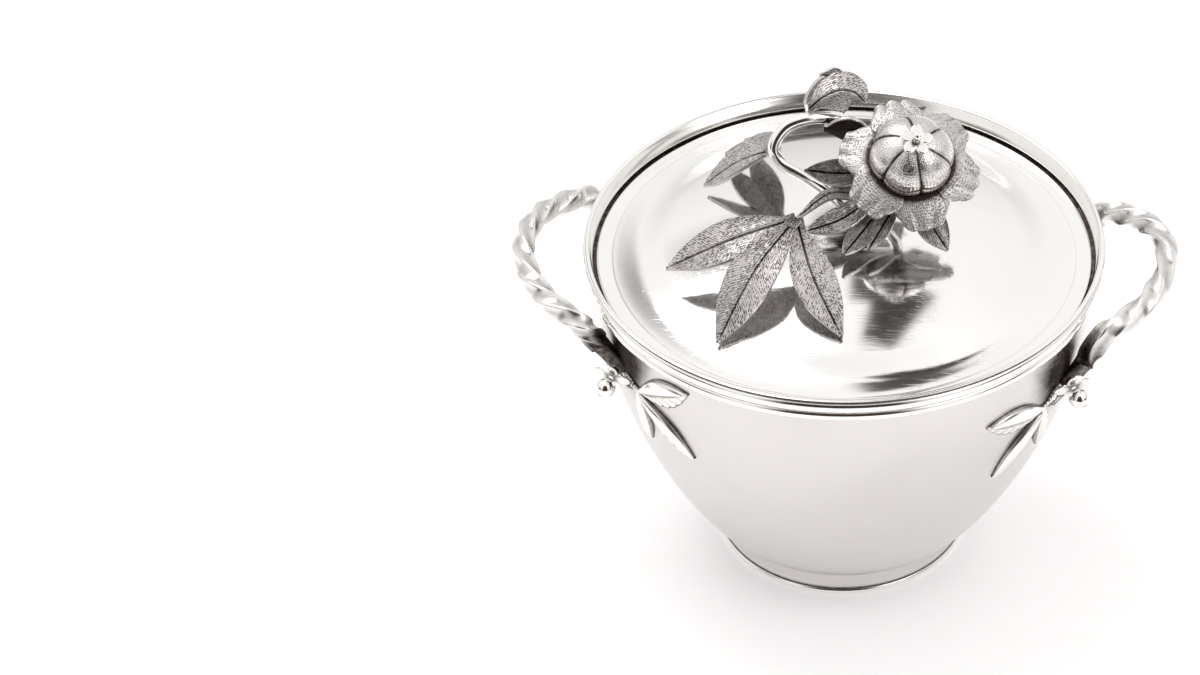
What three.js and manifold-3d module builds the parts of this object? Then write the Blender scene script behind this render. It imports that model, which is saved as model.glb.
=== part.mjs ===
// Covered silver sugar bowl: a raised bucket-shaped bowl on a ring foot, two twisted-bar loop
// handles held by leaf and blossom sprays, and a lift-off domed lid with a flower finial.
// Millimetres, +Z up. Origin: centre of the foot on the table. +X runs through the right handle.
import * as THREE from 'three'
import { mergeVertices } from 'three/addons/utils/BufferGeometryUtils.js'
import Module from 'manifold-3d'

const wasm = await Module()
wasm.setup()

// ---- Driving dimensions ----

const RIM_RADIUS = 60 // over the upper reed of the rim moulding
const BOWL_HEIGHT = 83.5 // table to the top of the lip
const FOOT_RADIUS = 29.8 // over the wire at the bottom of the foot
const FOOT_HEIGHT = 6.9
const BOWL_SHEET = 1.2 // thickness of the raised bowl
const LIP_WIDTH = 1.2 // flat top of the lip
const LIP_HEIGHT = 0.7 // lip above the upper reed
const LIP_EASE = 0.3 // rounding of the lip's inner edge
const UPPER_REED_HEIGHT = 2.5
const LOWER_REED_HEIGHT = 2.3
const REED_BULGE = 0.9 // how far a reed stands out from its groove
const LOWER_REED_INSET = 0.3 // lower reed stands this much inside the upper one
const LOWER_REED_DEPTH = 1.2 // wire of the lower reed, front to back
const RIM_WALL = 1 // metal of the moulding behind the lower reed
const BODY_INSET = 2.5 // upper reed in to the top of the raised body
const LEDGE_WIDTH = 3 // seat for the lid inside the lip
const LEDGE_THICKNESS = 1.2
const FOOT_SHEET = 1.4
const FOOT_FLARE = 0.45 // how far the foot's side splays
const FOOT_WIRE_HEIGHT = 1.8
const FOOT_WIRE_WIDTH = 2.6
const WALL_TURN_WIDTH = 4.3 // how far the bowl's bottom edge turns out beyond the top of the foot
const WALL_TURN_HEIGHT = 2.7

const LID_SHEET = 1.1
const LID_SIDE_CLEARANCE = 1.5 // dark gap all round between the lid's edge and the lip
const LID_RECESS = 4 // lip top down to the top of the lid's edge
const LID_SEAT_GAP = 0.05
const LID_BAND_WIDTH = 3.6 // flat band at the lid's edge
const LID_STEP_INSET = 11.35 // lid's edge in to the ring where the flat zone meets the dome
const LID_STEP_RISE = 1.6 // lid edge up to the foot of the dome
const LID_DOME_RISE = 7.4
const BEZEL_DEPTH = 5
const BEZEL_SHEET = 1
const BEZEL_CLEARANCE = 0.5 // bezel inside the ledge

const STUD_RADIUS = 1.5
const STUD_CLEARANCE = 0.15
const STUD_TAIL = 1.2 // stud below the nut
const BOSS_RADIUS = 4.2
const BOSS_HEIGHT = 1.8
const NUT_WIDTH = 6.5 // across the flats of the square nut
const NUT_HEIGHT = 2.4
const WASHER_RADIUS = 4.5
const WASHER_HEIGHT = 0.8

const HANDLE_STAND_OFF = 13.8 // upper reed out to the middle of the bar at the loop's far side
const HANDLE_BAR = 4.2 // side of the square bar
const HANDLE_TURNS = 2.25 // whole turns of twist along one loop
const RIM_GAP = 1.0 // bar to rim moulding where the bar passes it
const ROOT_DROP = 16 // upper reed down to where a root is soldered on
const BAR_DROP = 2.6 // lip down to the bar at the loop's far side

const STALK_RADIUS = 1.4
const LEAF_SHEET = 0.8
const PETAL_SHEET = 0.7
const LEAF_START = 3.1 // flower's axis to the start of each leaf under it
const CUP_DEPTH = 5
const OUTER_PETALS = 6
const FLOWER_RADIUS = 16.3
const PETAL_CROWN = 0.9 // how far an outer petal rises before it droops
const PETAL_DROOP = 2.6
const BUD_RADIUS = 9.4
const BUD_HEIGHT = 8
const FLORET_PETAL = 1.75 // radius of each round petal of the floret
const FLORET_THICKNESS = 1.2
const SEED_RADIUS = 1.15
const BERRY_RADIUS = 2.35
const SPRAY_OFFSET = 9.1 // root's middle round to the joint of its three leaves

const SEAM = 0.1 // solder line between round pieces on the bowl's axis
const GAP = 0.3 // solder line between pieces that lie at an angle
const LATHE_STEPS = 48

const TAU = Math.PI * 2
const vec = (x, y, z) => new THREE.Vector3(x, y, z)
const flat = (x, y) => new THREE.Vector2(x, y)

// ---- Heights and radii that follow from the driving dimensions ----

const ledgeTop = BOWL_HEIGHT - LID_RECESS - LID_SHEET - LID_SEAT_GAP
const shellTop = ledgeTop - LEDGE_THICKNESS - SEAM
const reedGrooveRadius = RIM_RADIUS - REED_BULGE
const lipInnerRadius = reedGrooveRadius + REED_BULGE * 0.5 - LIP_WIDTH
const lowerGrooveRadius = reedGrooveRadius - LOWER_REED_INSET
const lowerReedBack = lowerGrooveRadius + REED_BULGE - LOWER_REED_DEPTH
const mouldingRadius = lowerReedBack - SEAM
const mouldingInnerRadius = mouldingRadius - RIM_WALL
const upperReedTop = BOWL_HEIGHT - LIP_HEIGHT
const upperReedBottom = upperReedTop - UPPER_REED_HEIGHT
const lowerReedTop = upperReedBottom - SEAM
const lowerReedBottom = lowerReedTop - LOWER_REED_HEIGHT
const ledgeInnerRadius = lipInnerRadius - LEDGE_WIDTH
const bodyTopRadius = RIM_RADIUS - BODY_INSET
const footTopRadius = FOOT_RADIUS - FOOT_FLARE * 2
const shellBottom = FOOT_HEIGHT + SEAM

const lidRadius = lipInnerRadius - LID_SIDE_CLEARANCE
const lidStepRadius = lidRadius - LID_STEP_INSET
const lidEdgeTop = BOWL_HEIGHT - LID_RECESS
const domeFoot = lidEdgeTop + LID_STEP_RISE
const lidApex = domeFoot + LID_DOME_RISE
const domeBend = (lidStepRadius ** 2 + LID_DOME_RISE ** 2) / (2 * LID_DOME_RISE)
const studHoleRadius = STUD_RADIUS + STUD_CLEARANCE

// ---- Solids ----

/** Turns every triangle outward if the closed surface was made inside out. */
function facingOut(geometry) {
  const solid = geometry.index ? geometry.toNonIndexed() : geometry
  const p = solid.attributes.position
  let volume = 0
  const [a, b, c] = [vec(), vec(), vec()]
  for (let i = 0; i < p.count; i += 3) {
    a.fromBufferAttribute(p, i)
    b.fromBufferAttribute(p, i + 1)
    c.fromBufferAttribute(p, i + 2)
    volume += a.dot(b.cross(c))
  }
  if (volume < 0) {
    for (let i = 0; i < p.count; i += 3) {
      b.fromBufferAttribute(p, i + 1)
      c.fromBufferAttribute(p, i + 2)
      p.setXYZ(i + 1, c.x, c.y, c.z)
      p.setXYZ(i + 2, b.x, b.y, b.z)
    }
  }
  return solid
}

/** A turned ring or disc: the profile is (radius, height) and closes on itself or on the axis. */
function turned(profile, steps = LATHE_STEPS) {
  const onAxis = profile[0].x === 0 && profile.at(-1).x === 0
  const outline = onAxis ? profile : [...profile, profile[0]]
  const geometry = new THREE.LatheGeometry(outline, steps)
  geometry.rotateX(Math.PI / 2)
  return facingOut(geometry)
}

/** A bar or sheet: place(along 0..1, across -1..1, face -1..1) gives each point of its skin. */
function formed(alongSteps, acrossSteps, place) {
  const box = new THREE.BoxGeometry(2, 2, 2, alongSteps, acrossSteps, 1)
  const p = box.attributes.position
  for (let i = 0; i < p.count; i++) {
    const point = place((p.getX(i) + 1) / 2, p.getY(i), p.getZ(i))
    p.setXYZ(i, point.x, point.y, point.z)
  }
  return facingOut(box)
}

function toSolid(geometry) {
  const bare = geometry.clone()
  bare.deleteAttribute('normal')
  bare.deleteAttribute('uv')
  const merged = mergeVertices(bare, 1e-4)
  const vertProperties = Float32Array.from(merged.attributes.position.array)
  const triVerts = Uint32Array.from(merged.index.array)
  return new wasm.Manifold(new wasm.Mesh({ numProp: 3, vertProperties, triVerts }))
}

function toGeometry(solid) {
  const mesh = solid.getMesh()
  const geometry = new THREE.BufferGeometry()
  geometry.setAttribute('position', new THREE.BufferAttribute(mesh.vertProperties, 3))
  geometry.setIndex(new THREE.BufferAttribute(mesh.triVerts, 1))
  return geometry.toNonIndexed()
}

const joined = (pieces) => toGeometry(pieces.map(toSolid).reduce((whole, piece) => whole.add(piece)))
const cut = (piece, tool) => toGeometry(toSolid(piece).subtract(toSolid(tool)))

// ---- Bowl ----

/** Outside of the bowl's wall, from the turn above the foot up to the rim moulding. */
function wallCurve() {
  const bottom = flat(footTopRadius + WALL_TURN_WIDTH, shellBottom + WALL_TURN_HEIGHT)
  const top = flat(bodyTopRadius, shellTop)
  const rise = top.y - bottom.y
  const lowerPull = flat(bottom.x + 5.7, bottom.y + rise * 0.08)
  const upperPull = flat(top.x + 0.3, top.y - rise * 0.45)
  return new THREE.CubicBezierCurve(bottom, lowerPull, upperPull, top)
}

const wallPoints = wallCurve().getPoints(60)

/** Outer radius of the wall at a height. */
function wallRadius(height) {
  const above = wallPoints.findIndex((point) => point.y >= height)
  if (above <= 0) return above === 0 ? wallPoints[0].x : wallPoints.at(-1).x
  const [low, high] = [wallPoints[above - 1], wallPoints[above]]
  return THREE.MathUtils.mapLinear(height, low.y, high.y, low.x, high.x)
}

function bowlShell() {
  const outside = [flat(0, shellBottom), flat(footTopRadius - 1, shellBottom)]
  outside.push(flat(footTopRadius + 2.4, shellBottom + WALL_TURN_HEIGHT * 0.25))
  outside.push(...wallCurve().getPoints(9))
  const inside = [flat(bodyTopRadius - BOWL_SHEET, shellTop)]
  const innerWall = wallCurve().getPoints(7).reverse().slice(1)
  for (const point of innerWall) {
    const lean = (shellTop - point.y) / (shellTop - shellBottom)
    inside.push(flat(point.x - BOWL_SHEET * (1 + 0.15 * lean), point.y + BOWL_SHEET * 0.5 * lean))
  }
  inside.push(flat(footTopRadius - 2, shellBottom + BOWL_SHEET), flat(0, shellBottom + BOWL_SHEET))
  return turned([...outside, ...inside])
}

/** Half-round reed outline from its top to its bottom, standing out from the groove radius. */
function reed(grooveRadius, top, height, bulge, steps = 4) {
  const points = []
  for (let i = 0; i <= steps; i++) {
    const angle = (i / steps) * Math.PI
    const drop = (height * (1 - Math.cos(angle))) / 2
    points.push(flat(grooveRadius + bulge * Math.sin(angle), top - drop))
  }
  return points
}

function rimMoulding() {
  return turned([
    flat(mouldingInnerRadius, ledgeTop),
    flat(mouldingInnerRadius, upperReedBottom),
    flat(lipInnerRadius, BOWL_HEIGHT - LIP_EASE),
    flat(lipInnerRadius + LIP_EASE, BOWL_HEIGHT),
    flat(lipInnerRadius + LIP_WIDTH, BOWL_HEIGHT),
    ...reed(reedGrooveRadius, upperReedTop, UPPER_REED_HEIGHT, REED_BULGE),
    flat(mouldingRadius, upperReedBottom),
    flat(mouldingRadius, lowerReedBottom),
    flat(bodyTopRadius, ledgeTop - LEDGE_THICKNESS),
    flat(ledgeInnerRadius, ledgeTop - LEDGE_THICKNESS),
    flat(ledgeInnerRadius, ledgeTop),
  ])
}

function lowerRimWire() {
  return turned([
    flat(lowerReedBack, lowerReedTop),
    ...reed(lowerGrooveRadius, lowerReedTop, LOWER_REED_HEIGHT, REED_BULGE),
    flat(lowerReedBack, lowerReedBottom),
  ])
}

function footRing() {
  const bottom = FOOT_WIRE_HEIGHT + SEAM
  return turned([
    flat(footTopRadius - FOOT_SHEET, FOOT_HEIGHT),
    flat(footTopRadius - FOOT_SHEET, bottom),
    flat(footTopRadius + FOOT_FLARE, bottom),
    flat(footTopRadius + FOOT_FLARE * 0.3, (bottom + FOOT_HEIGHT) / 2),
    flat(footTopRadius, FOOT_HEIGHT),
  ])
}

function footWire() {
  const groove = FOOT_RADIUS - REED_BULGE * 0.6
  return turned([
    flat(FOOT_RADIUS - FOOT_WIRE_WIDTH, 0),
    ...reed(groove, FOOT_WIRE_HEIGHT, FOOT_WIRE_HEIGHT, REED_BULGE * 0.6).reverse(),
    flat(FOOT_RADIUS - FOOT_WIRE_WIDTH, FOOT_WIRE_HEIGHT),
  ])
}

/** Everything inside the bowl's outer skin, grown by the solder gap: used to cut what lies on it. */
function bowlEnvelope() {
  const wallTop = lowerReedBottom - GAP
  const wall = wallPoints.filter((point) => point.y < wallTop)
  return turned([
    flat(0, FOOT_HEIGHT),
    flat(wallPoints[0].x + GAP, FOOT_HEIGHT),
    ...wall.filter((point, i) => i % 4 === 0).map((point) => flat(point.x + GAP, point.y)),
    flat(bodyTopRadius + GAP, wallTop),
    flat(RIM_RADIUS + GAP, wallTop),
    flat(RIM_RADIUS + GAP, BOWL_HEIGHT + GAP),
    flat(0, BOWL_HEIGHT + GAP),
  ])
}

const envelope = bowlEnvelope()

// ---- Handles and their sprays, made at the front of the right handle ----

const degreesPerMm = (height) => 180 / (Math.PI * wallRadius(height))

/** A point on the bowl's wall: degrees towards the front from +X, height, distance off the wall. */
function onWall(azimuth, height, off) {
  const radius = wallRadius(height) + off
  const angle = THREE.MathUtils.degToRad(-azimuth)
  return vec(radius * Math.cos(angle), radius * Math.sin(angle), height)
}

/** A point beside a handle's end: millimetres round the wall towards the front, height, distance off. */
function besideEnd(end, round, height, off) {
  return onWall(end.azimuth + round * degreesPerMm(height), height, off)
}

/**
 * Hand-set places of each handle's two ends. azimuth is degrees from the handle's axis, drop is how
 * much lower the end sits, swing turns its leaves and lift raises its blossom. dip lowers the loop.
 */
const HANDLES = {
  right: {
    turn: 0,
    dip: 1,
    front: { azimuth: 27, drop: 2.6, swing: -7, lift: 2 },
    back: { azimuth: 23, drop: 2, swing: 0, lift: 0 },
  },
  left: {
    turn: Math.PI,
    dip: -0.3,
    front: { azimuth: 26, drop: 0, swing: 0, lift: 0 },
    back: { azimuth: 27, drop: -1.6, swing: 7, lift: 0 },
  },
}

const rootHeight = ({ drop }) => upperReedBottom - ROOT_DROP - drop
const rootTop = (end) => besideEnd(end, -2.9, rootHeight(end) + 6, HANDLE_BAR * 0.5 + RIM_GAP)
const barPass = RIM_RADIUS + RIM_GAP + HANDLE_BAR / Math.SQRT2
const handleReach = RIM_RADIUS + HANDLE_STAND_OFF

/** One half of the bar's middle line, from its front root to the loop's far side. */
function halfLine(end, dip) {
  const pass = THREE.MathUtils.degToRad(end.azimuth - 4)
  const spread = Math.sin(pass) * barPass
  const level = BOWL_HEIGHT - BAR_DROP - dip
  return [
    rootTop(end),
    vec(barPass * Math.cos(pass), -spread, level - 4.2),
    vec(handleReach - 7.6, -spread * 0.78, level - 2),
    vec(handleReach - 2.4, -spread * 0.47, level - 0.6),
    vec(handleReach, 0, level),
  ]
}

/** Middle line of a handle's bar, from the front root round to the back one. */
function handleLine({ front, back, dip }) {
  const mirrored = halfLine(back, dip).slice(0, -1).reverse().map((point) => vec(point.x, -point.y, point.z))
  return new THREE.CatmullRomCurve3([...halfLine(front, dip), ...mirrored], false, 'centripetal')
}

/** A frame that travels along a line, its side kept square to the given up direction. */
function frameAt(line, along, up) {
  const middle = line.getPoint(along)
  const tangent = line.getTangent(along)
  const side = up.clone().cross(tangent).normalize()
  const normal = tangent.clone().cross(side).normalize()
  return { middle, tangent, side, normal }
}

function handleBar(handle) {
  const line = handleLine(handle)
  const up = vec(0, 0, 1)
  const half = HANDLE_BAR / 2
  return formed(60, 2, (along, across, face) => {
    const { middle, side, normal } = frameAt(line, along, up)
    const twist = -HANDLE_TURNS * TAU * along
    const [a, b] = [across * half, face * half]
    const sideways = a * Math.cos(twist) - b * Math.sin(twist)
    const upward = a * Math.sin(twist) + b * Math.cos(twist)
    return middle.addScaledVector(side, sideways).addScaledVector(normal, upward)
  })
}

/** The bar's end, flattened into a foot that is soldered to the wall; grow thickens it all over. */
function rootBlock(end, grow) {
  const barHeading = handleLine({ front: end, back: end, dip: 0 }).getTangent(0)
  const tip = rootTop(end).addScaledVector(barHeading, grow - GAP)
  const line = new THREE.QuadraticBezierCurve3(
    besideEnd(end, 4.7, rootHeight(end) - 2 - grow, -1),
    tip.clone().addScaledVector(barHeading, -4),
    tip,
  )
  const outward = onWall(end.azimuth, rootHeight(end), 1).setZ(0).normalize()
  return formed(8, 2, (along, across, face) => {
    const { middle, side, normal } = frameAt(line, along, outward)
    const halfWidth = THREE.MathUtils.lerp(4.2, HANDLE_BAR * 0.5, Math.sqrt(along)) + grow
    const halfDepth = THREE.MathUtils.lerp(1.4, HANDLE_BAR * 0.5, along) + grow
    return middle.addScaledVector(side, across * halfWidth).addScaledVector(normal, face * halfDepth)
  })
}

const handleRoot = (end) => cut(rootBlock(end, 0), envelope)

/** Half-width of a pointed leaf along its length, 0 at the stem to 1 at the tip. */
function leafHalfWidth(width, stem, along) {
  const blade = (width / 2) * Math.sin(Math.PI * Math.min(along ** 1.15, 1)) ** 0.85
  return Math.max(blade, THREE.MathUtils.lerp(stem / 2, 0.35, along))
}

/** A leaf lying on the wall: it starts at (azimuth, height) and heads off at an angle. */
function wallLeaf(azimuth, height, length, heading, width, swell) {
  const angle = THREE.MathUtils.degToRad(heading)
  return formed(7, 2, (along, across, face) => {
    const half = leafHalfWidth(width, 1.6, along) * across
    const round = length * along * Math.cos(angle) - half * Math.sin(angle)
    const up = length * along * Math.sin(angle) + half * Math.cos(angle)
    const rise = swell * (1 - across * across * 0.6) * Math.sin(Math.PI * along)
    const off = face < 0 ? GAP : GAP + LEAF_SHEET + rise
    return onWall(azimuth + round * degreesPerMm(height), height + up, off)
  })
}

/** Three leaves fanning out from one joint; swing turns the whole fan. */
function wallSpray(end) {
  const height = rootHeight(end) - 0.5
  const joint = [end.azimuth + SPRAY_OFFSET * degreesPerMm(height), height]
  const fan = [
    wallLeaf(...joint, 19.4, 21 + end.swing, 6.2, 0.9),
    wallLeaf(...joint, 20.2, -44 + end.swing, 5.6, 0.9),
    wallLeaf(...joint, 15.4, -97 + end.swing, 4.4, 0.9),
  ]
  return cut(cut(joined(fan), envelope), rootBlock(end, GAP))
}

const blossomFacing = vec(0.4, -0.84, -0.36).normalize()
const blossomMiddle = (end) => besideEnd(end, 4.3, rootHeight(end) + 2 + end.lift, 4)

/** A round-ended petal as a flattened ball, turned about the flower's axis. */
function lobe(radius, thickness, reach, angle) {
  const ball = new THREE.SphereGeometry(radius, 8, 5)
  ball.scale(1, 0.8, thickness / radius / 2)
  ball.translate(reach, 0, 0)
  ball.rotateZ(angle)
  return ball
}

function turnTowards(geometry, direction, origin) {
  const turn = new THREE.Quaternion().setFromUnitVectors(vec(0, 0, 1), direction)
  geometry.applyQuaternion(turn)
  geometry.translate(origin.x, origin.y, origin.z)
  return geometry
}

function blossom(end) {
  const petals = [0, 1, 2, 3].map((i) => lobe(2.4, 1.3, 2.3, (i / 4) * TAU + 0.5))
  const back = new THREE.CylinderGeometry(1.6, 1, 2.6, 10)
  back.rotateX(Math.PI / 2)
  back.translate(0, 0, -1)
  const whole = turnTowards(joined([...petals, back]), blossomFacing, blossomMiddle(end))
  return cut(cut(whole, envelope), rootBlock(end, GAP))
}

function berry(end) {
  const middle = blossomMiddle(end).addScaledVector(blossomFacing, BERRY_RADIUS + 0.65 + GAP)
  const ball = new THREE.SphereGeometry(BERRY_RADIUS, 12, 8)
  return ball.translate(middle.x, middle.y, middle.z)
}

// ---- Lid ----

/** Top of the lid's dome at a distance from the axis. */
const domeTop = (radius) => lidApex - domeBend + Math.sqrt(domeBend ** 2 - radius ** 2)

/** Top of the lid anywhere, used to keep the finial's leaves off it. */
function lidTop(radius) {
  if (radius < lidStepRadius) return domeTop(radius)
  const band = lidRadius - LID_BAND_WIDTH
  const slope = THREE.MathUtils.clamp((band - radius) / (band - lidStepRadius), 0, 1)
  return lidEdgeTop + (LID_STEP_RISE - 0.5) * slope ** 1.5
}

function lidDome() {
  const top = [flat(lidRadius, lidEdgeTop - LID_SHEET * 0.4), flat(lidRadius - 0.4, lidEdgeTop)]
  const slopeSteps = 3
  const band = lidRadius - LID_BAND_WIDTH
  for (let i = 0; i <= slopeSteps; i++) {
    const radius = THREE.MathUtils.lerp(band, lidStepRadius + 0.8, i / slopeSteps)
    top.push(flat(radius, lidTop(radius)))
  }
  const domeSteps = 7
  for (let i = 0; i <= domeSteps; i++) {
    const radius = THREE.MathUtils.lerp(lidStepRadius, studHoleRadius, i / domeSteps)
    top.push(flat(radius, domeTop(radius)))
  }
  const under = top.slice(2).reverse().map((point) => flat(point.x, point.y - LID_SHEET))
  return turned([...top, ...under, flat(lidRadius, lidEdgeTop - LID_SHEET)])
}

function lidBezel() {
  const top = lidEdgeTop - LID_SHEET - SEAM
  const outer = ledgeInnerRadius - BEZEL_CLEARANCE
  return turned([
    flat(outer, top),
    flat(outer, top - BEZEL_DEPTH + 0.6),
    flat(outer - 0.4, top - BEZEL_DEPTH),
    flat(outer - BEZEL_SHEET, top - BEZEL_DEPTH),
    flat(outer - BEZEL_SHEET, top),
  ])
}

const bossTop = lidApex + BOSS_HEIGHT
const lidUnderside = lidApex - LID_SHEET
const washerBottom = domeTop(WASHER_RADIUS) - LID_SHEET - SEAM - WASHER_HEIGHT
const nutBottom = washerBottom - SEAM - NUT_HEIGHT
/** Turned boss on top of the lid with the stud that passes through it. */
function finialBoss() {
  const seat = domeTop(0) + SEAM
  return turned([
    flat(0, nutBottom - STUD_TAIL),
    flat(STUD_RADIUS - 0.3, nutBottom - STUD_TAIL),
    flat(STUD_RADIUS, nutBottom - STUD_TAIL + 0.3),
    flat(STUD_RADIUS, seat),
    flat(BOSS_RADIUS, seat),
    flat(BOSS_RADIUS, seat + 0.5),
    flat(BOSS_RADIUS - 0.8, seat + 1),
    flat(STALK_RADIUS + 0.8, bossTop),
    flat(0, bossTop),
  ], 24)
}

function washer() {
  return turned([
    flat(studHoleRadius, washerBottom),
    flat(WASHER_RADIUS, washerBottom),
    flat(WASHER_RADIUS, washerBottom + WASHER_HEIGHT),
    flat(studHoleRadius, washerBottom + WASHER_HEIGHT),
  ], 24)
}

function nut() {
  const half = NUT_WIDTH / 2
  const corners = [flat(-half, -half), flat(half, -half), flat(half, half), flat(-half, half)]
  const outline = new THREE.Shape(corners)
  outline.holes.push(new THREE.Path().absarc(0, 0, studHoleRadius, 0, TAU, true))
  const shape = { depth: NUT_HEIGHT, bevelEnabled: false, curveSegments: 12 }
  return new THREE.ExtrudeGeometry(outline, shape).translate(0, 0, nutBottom)
}

// ---- Finial: places are measured from the lid's apex ----

const fromApex = (x, y, rise) => vec(x, y, lidApex + rise)
const flowerMiddle = fromApex(15.1, -0.6, 17.5)
const flowerFacing = vec(0.1, -0.48, 0.87).normalize()
const cupBottom = flowerMiddle.clone().addScaledVector(flowerFacing, -CUP_DEPTH - 1)

/** A place on or near the flower: distance out, angle round it, distance along its axis. */
function onFlower(reach, angle, along) {
  const right = vec(1, 0, 0).addScaledVector(flowerFacing, -flowerFacing.x).normalize()
  const away = flowerFacing.clone().cross(right)
  return flowerMiddle.clone()
    .addScaledVector(right, reach * Math.cos(angle))
    .addScaledVector(away, reach * Math.sin(angle))
    .addScaledVector(flowerFacing, along)
}

function stalkLine() {
  return new THREE.CatmullRomCurve3([
    vec(0, 0, bossTop + GAP),
    vec(0, 0, bossTop + 1.4),
    fromApex(-3, 2.6, 5.2),
    fromApex(-8.7, 6.2, 7.6),
    fromApex(-14.4, 8.2, 10.4),
    fromApex(-16, 9.4, 13.6),
    fromApex(-13.4, 11.6, 17.6),
    fromApex(-7.3, 13.4, 19),
    fromApex(0.4, 15.8, 16.4),
    fromApex(6.6, 13.6, 12.4),
    fromApex(10.8, 8, 8.8),
    cupBottom.clone().addScaledVector(flowerFacing, -2.4),
    cupBottom.clone().addScaledVector(flowerFacing, -GAP),
  ], false, 'centripetal')
}

function stalk() {
  const section = new THREE.Shape().absarc(0, 0, STALK_RADIUS, 0, TAU, false)
  return new THREE.ExtrudeGeometry(section, {
    steps: 28,
    curveSegments: 5,
    bevelEnabled: false,
    extrudePath: stalkLine(),
  })
}

/** A free leaf of sheet along a line, cupped about its midrib; up is the way its face looks. */
function leaf(points, up, width, stem, cup, alongSteps = 8) {
  const line = new THREE.CatmullRomCurve3(points, false, 'centripetal')
  return formed(alongSteps, 2, (along, across, face) => {
    const { middle, side, normal } = frameAt(line, along, up)
    const half = leafHalfWidth(width, stem, along)
    const lift = cup * Math.abs(across) * half + (face * LEAF_SHEET) / 2
    return middle.addScaledVector(side, across * half).addScaledVector(normal, lift)
  })
}

/** A point that hangs a little above the lid: x and y are shares of the lid's radius. */
function aboveLid(xShare, yShare, clear) {
  const [x, y] = [xShare * lidRadius, yShare * lidRadius]
  return vec(x, y, lidTop(Math.hypot(x, y)) + clear)
}

function frontSpray() {
  const joint = fromApex(-10.6, -13.6, 10.4)
  const up = vec(0, -0.35, 0.94)
  const leaves = [
    leaf([joint, fromApex(-25, -17.4, 7.2), aboveLid(-0.7, -0.303, 5.6)], up, 10.4, 3, 0.12, 10),
    leaf([joint, fromApex(-19.6, -25.2, 4.6), aboveLid(-0.494, -0.668, 1.2)], up, 10.8, 3, 0.12, 10),
    leaf([joint, fromApex(-6.8, -25.4, 3.4), aboveLid(-0.007, -0.663, 1.2)], up, 9.6, 3, 0.12, 10),
  ]
  const stemLine = [fromApex(11.4, 1.2, 7.6), fromApex(4.6, -0.8, 7.6), fromApex(-2.6, -3.4, 10), joint]
  const stem = leaf(stemLine, up, 3, 3, 0, 7)
  return joined([...leaves, stem])
}

function rearLeftSpray() {
  const joint = fromApex(-16.2, 14.6, 9)
  const up = vec(-0.1, -0.2, 0.97)
  const leaves = [
    leaf([joint, fromApex(-24, 16.4, 4.4), aboveLid(-0.568, 0.306, 1.6)], up, 7.6, 2.2, 0.12),
    leaf([joint, fromApex(-22, 23, 3.6), aboveLid(-0.487, 0.559, 2.2)], up, 7.6, 2.2, 0.12),
    leaf([joint, fromApex(-19, 26.4, 3.4), aboveLid(-0.392, 0.698, 2.4)], up, 7, 2.2, 0.12),
  ]
  const stem = leaf([fromApex(-15.5, 11, 12), joint], up, 2.2, 2.2, 0, 3)
  return joined([...leaves, stem])
}

function crestLeaf() {
  return leaf([
    fromApex(-7.8, 14.6, 21),
    fromApex(-4.6, 15.6, 23.4),
    fromApex(-0.5, 16.2, 24.8),
    fromApex(2.7, 16.2, 23.9),
    fromApex(4.8, 15.9, 21.4),
  ], vec(0, -0.6, 0.8), 10, 2, -0.3, 9)
}

function curledLeaf() {
  return leaf([
    fromApex(-8.2, 15, 17.6),
    fromApex(-8.2, 19.8, 17.4),
    fromApex(-5.6, 22.8, 20),
    fromApex(-2.6, 24, 23.2),
    fromApex(-5.6, 23.2, 24.4),
  ], vec(0.5, -0.8, 0.2), 6, 2, 0.1)
}

/** Hangs under the crest leaf with its back to the front of the bowl. */
function rearUnderLeaf() {
  const points = [fromApex(-4.6, 12.4, 17), fromApex(0.4, 12.2, 16.6), fromApex(6.6, 11.8, 14.4)]
  return leaf(points, vec(0, 0.9, 0.4), 7.6, 2, 0.1)
}

/** Leaves under the flower: where each starts round the cup, how low, and its line to the tip. */
const UNDER_LEAVES = {
  bract_leaf_left: {
    angle: 174, below: 4.4, width: 7,
    line: [fromApex(0.4, 1.6, 11.9), fromApex(-8.9, 1.2, 13)],
  },
  bract_leaf_front_left: {
    angle: 210, below: 4.6, width: 6,
    line: [fromApex(0.6, -7.4, 6.4), fromApex(-8.6, -12.6, 6)],
  },
  bract_leaf_front: {
    angle: 236, below: 6.4, width: 5,
    line: [fromApex(4, -10, 3.6), fromApex(0, -16.6, 2.6)],
  },
  bract_leaf_front_small: {
    angle: 268, below: 6, width: 4,
    line: [fromApex(8.8, -9.4, 5.2), fromApex(5.7, -15.3, 3.2)],
  },
  bract_leaf_front_right: {
    angle: 310, below: 4.6, width: 7,
    line: [fromApex(19.4, -6.8, 5), fromApex(23.5, -12.1, 0.6)],
  },
  bract_leaf_rear_right: {
    angle: 80, below: 5, width: 6.6,
    line: [fromApex(13.6, 12.4, 9.4), fromApex(13.4, 17.8, 13.4), fromApex(18.6, 18.6, 18.6)],
  },
}

/** A leaf that springs from under the flower's cup. */
function bractLeaf({ angle, below, line, width }) {
  const start = onFlower(LEAF_START, THREE.MathUtils.degToRad(angle), -below)
  return leaf([start, ...line], flowerFacing, width, 1.6, 0.12, 7)
}

function flowerCup() {
  const cup = turned([
    flat(0, -CUP_DEPTH - 1),
    flat(1.5, -CUP_DEPTH - 1),
    flat(2.1, -CUP_DEPTH * 0.7),
    flat(3.6, -2.2),
    flat(0, -2.2),
  ], 16)
  return turnTowards(cup, flowerFacing, flowerMiddle)
}

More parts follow.
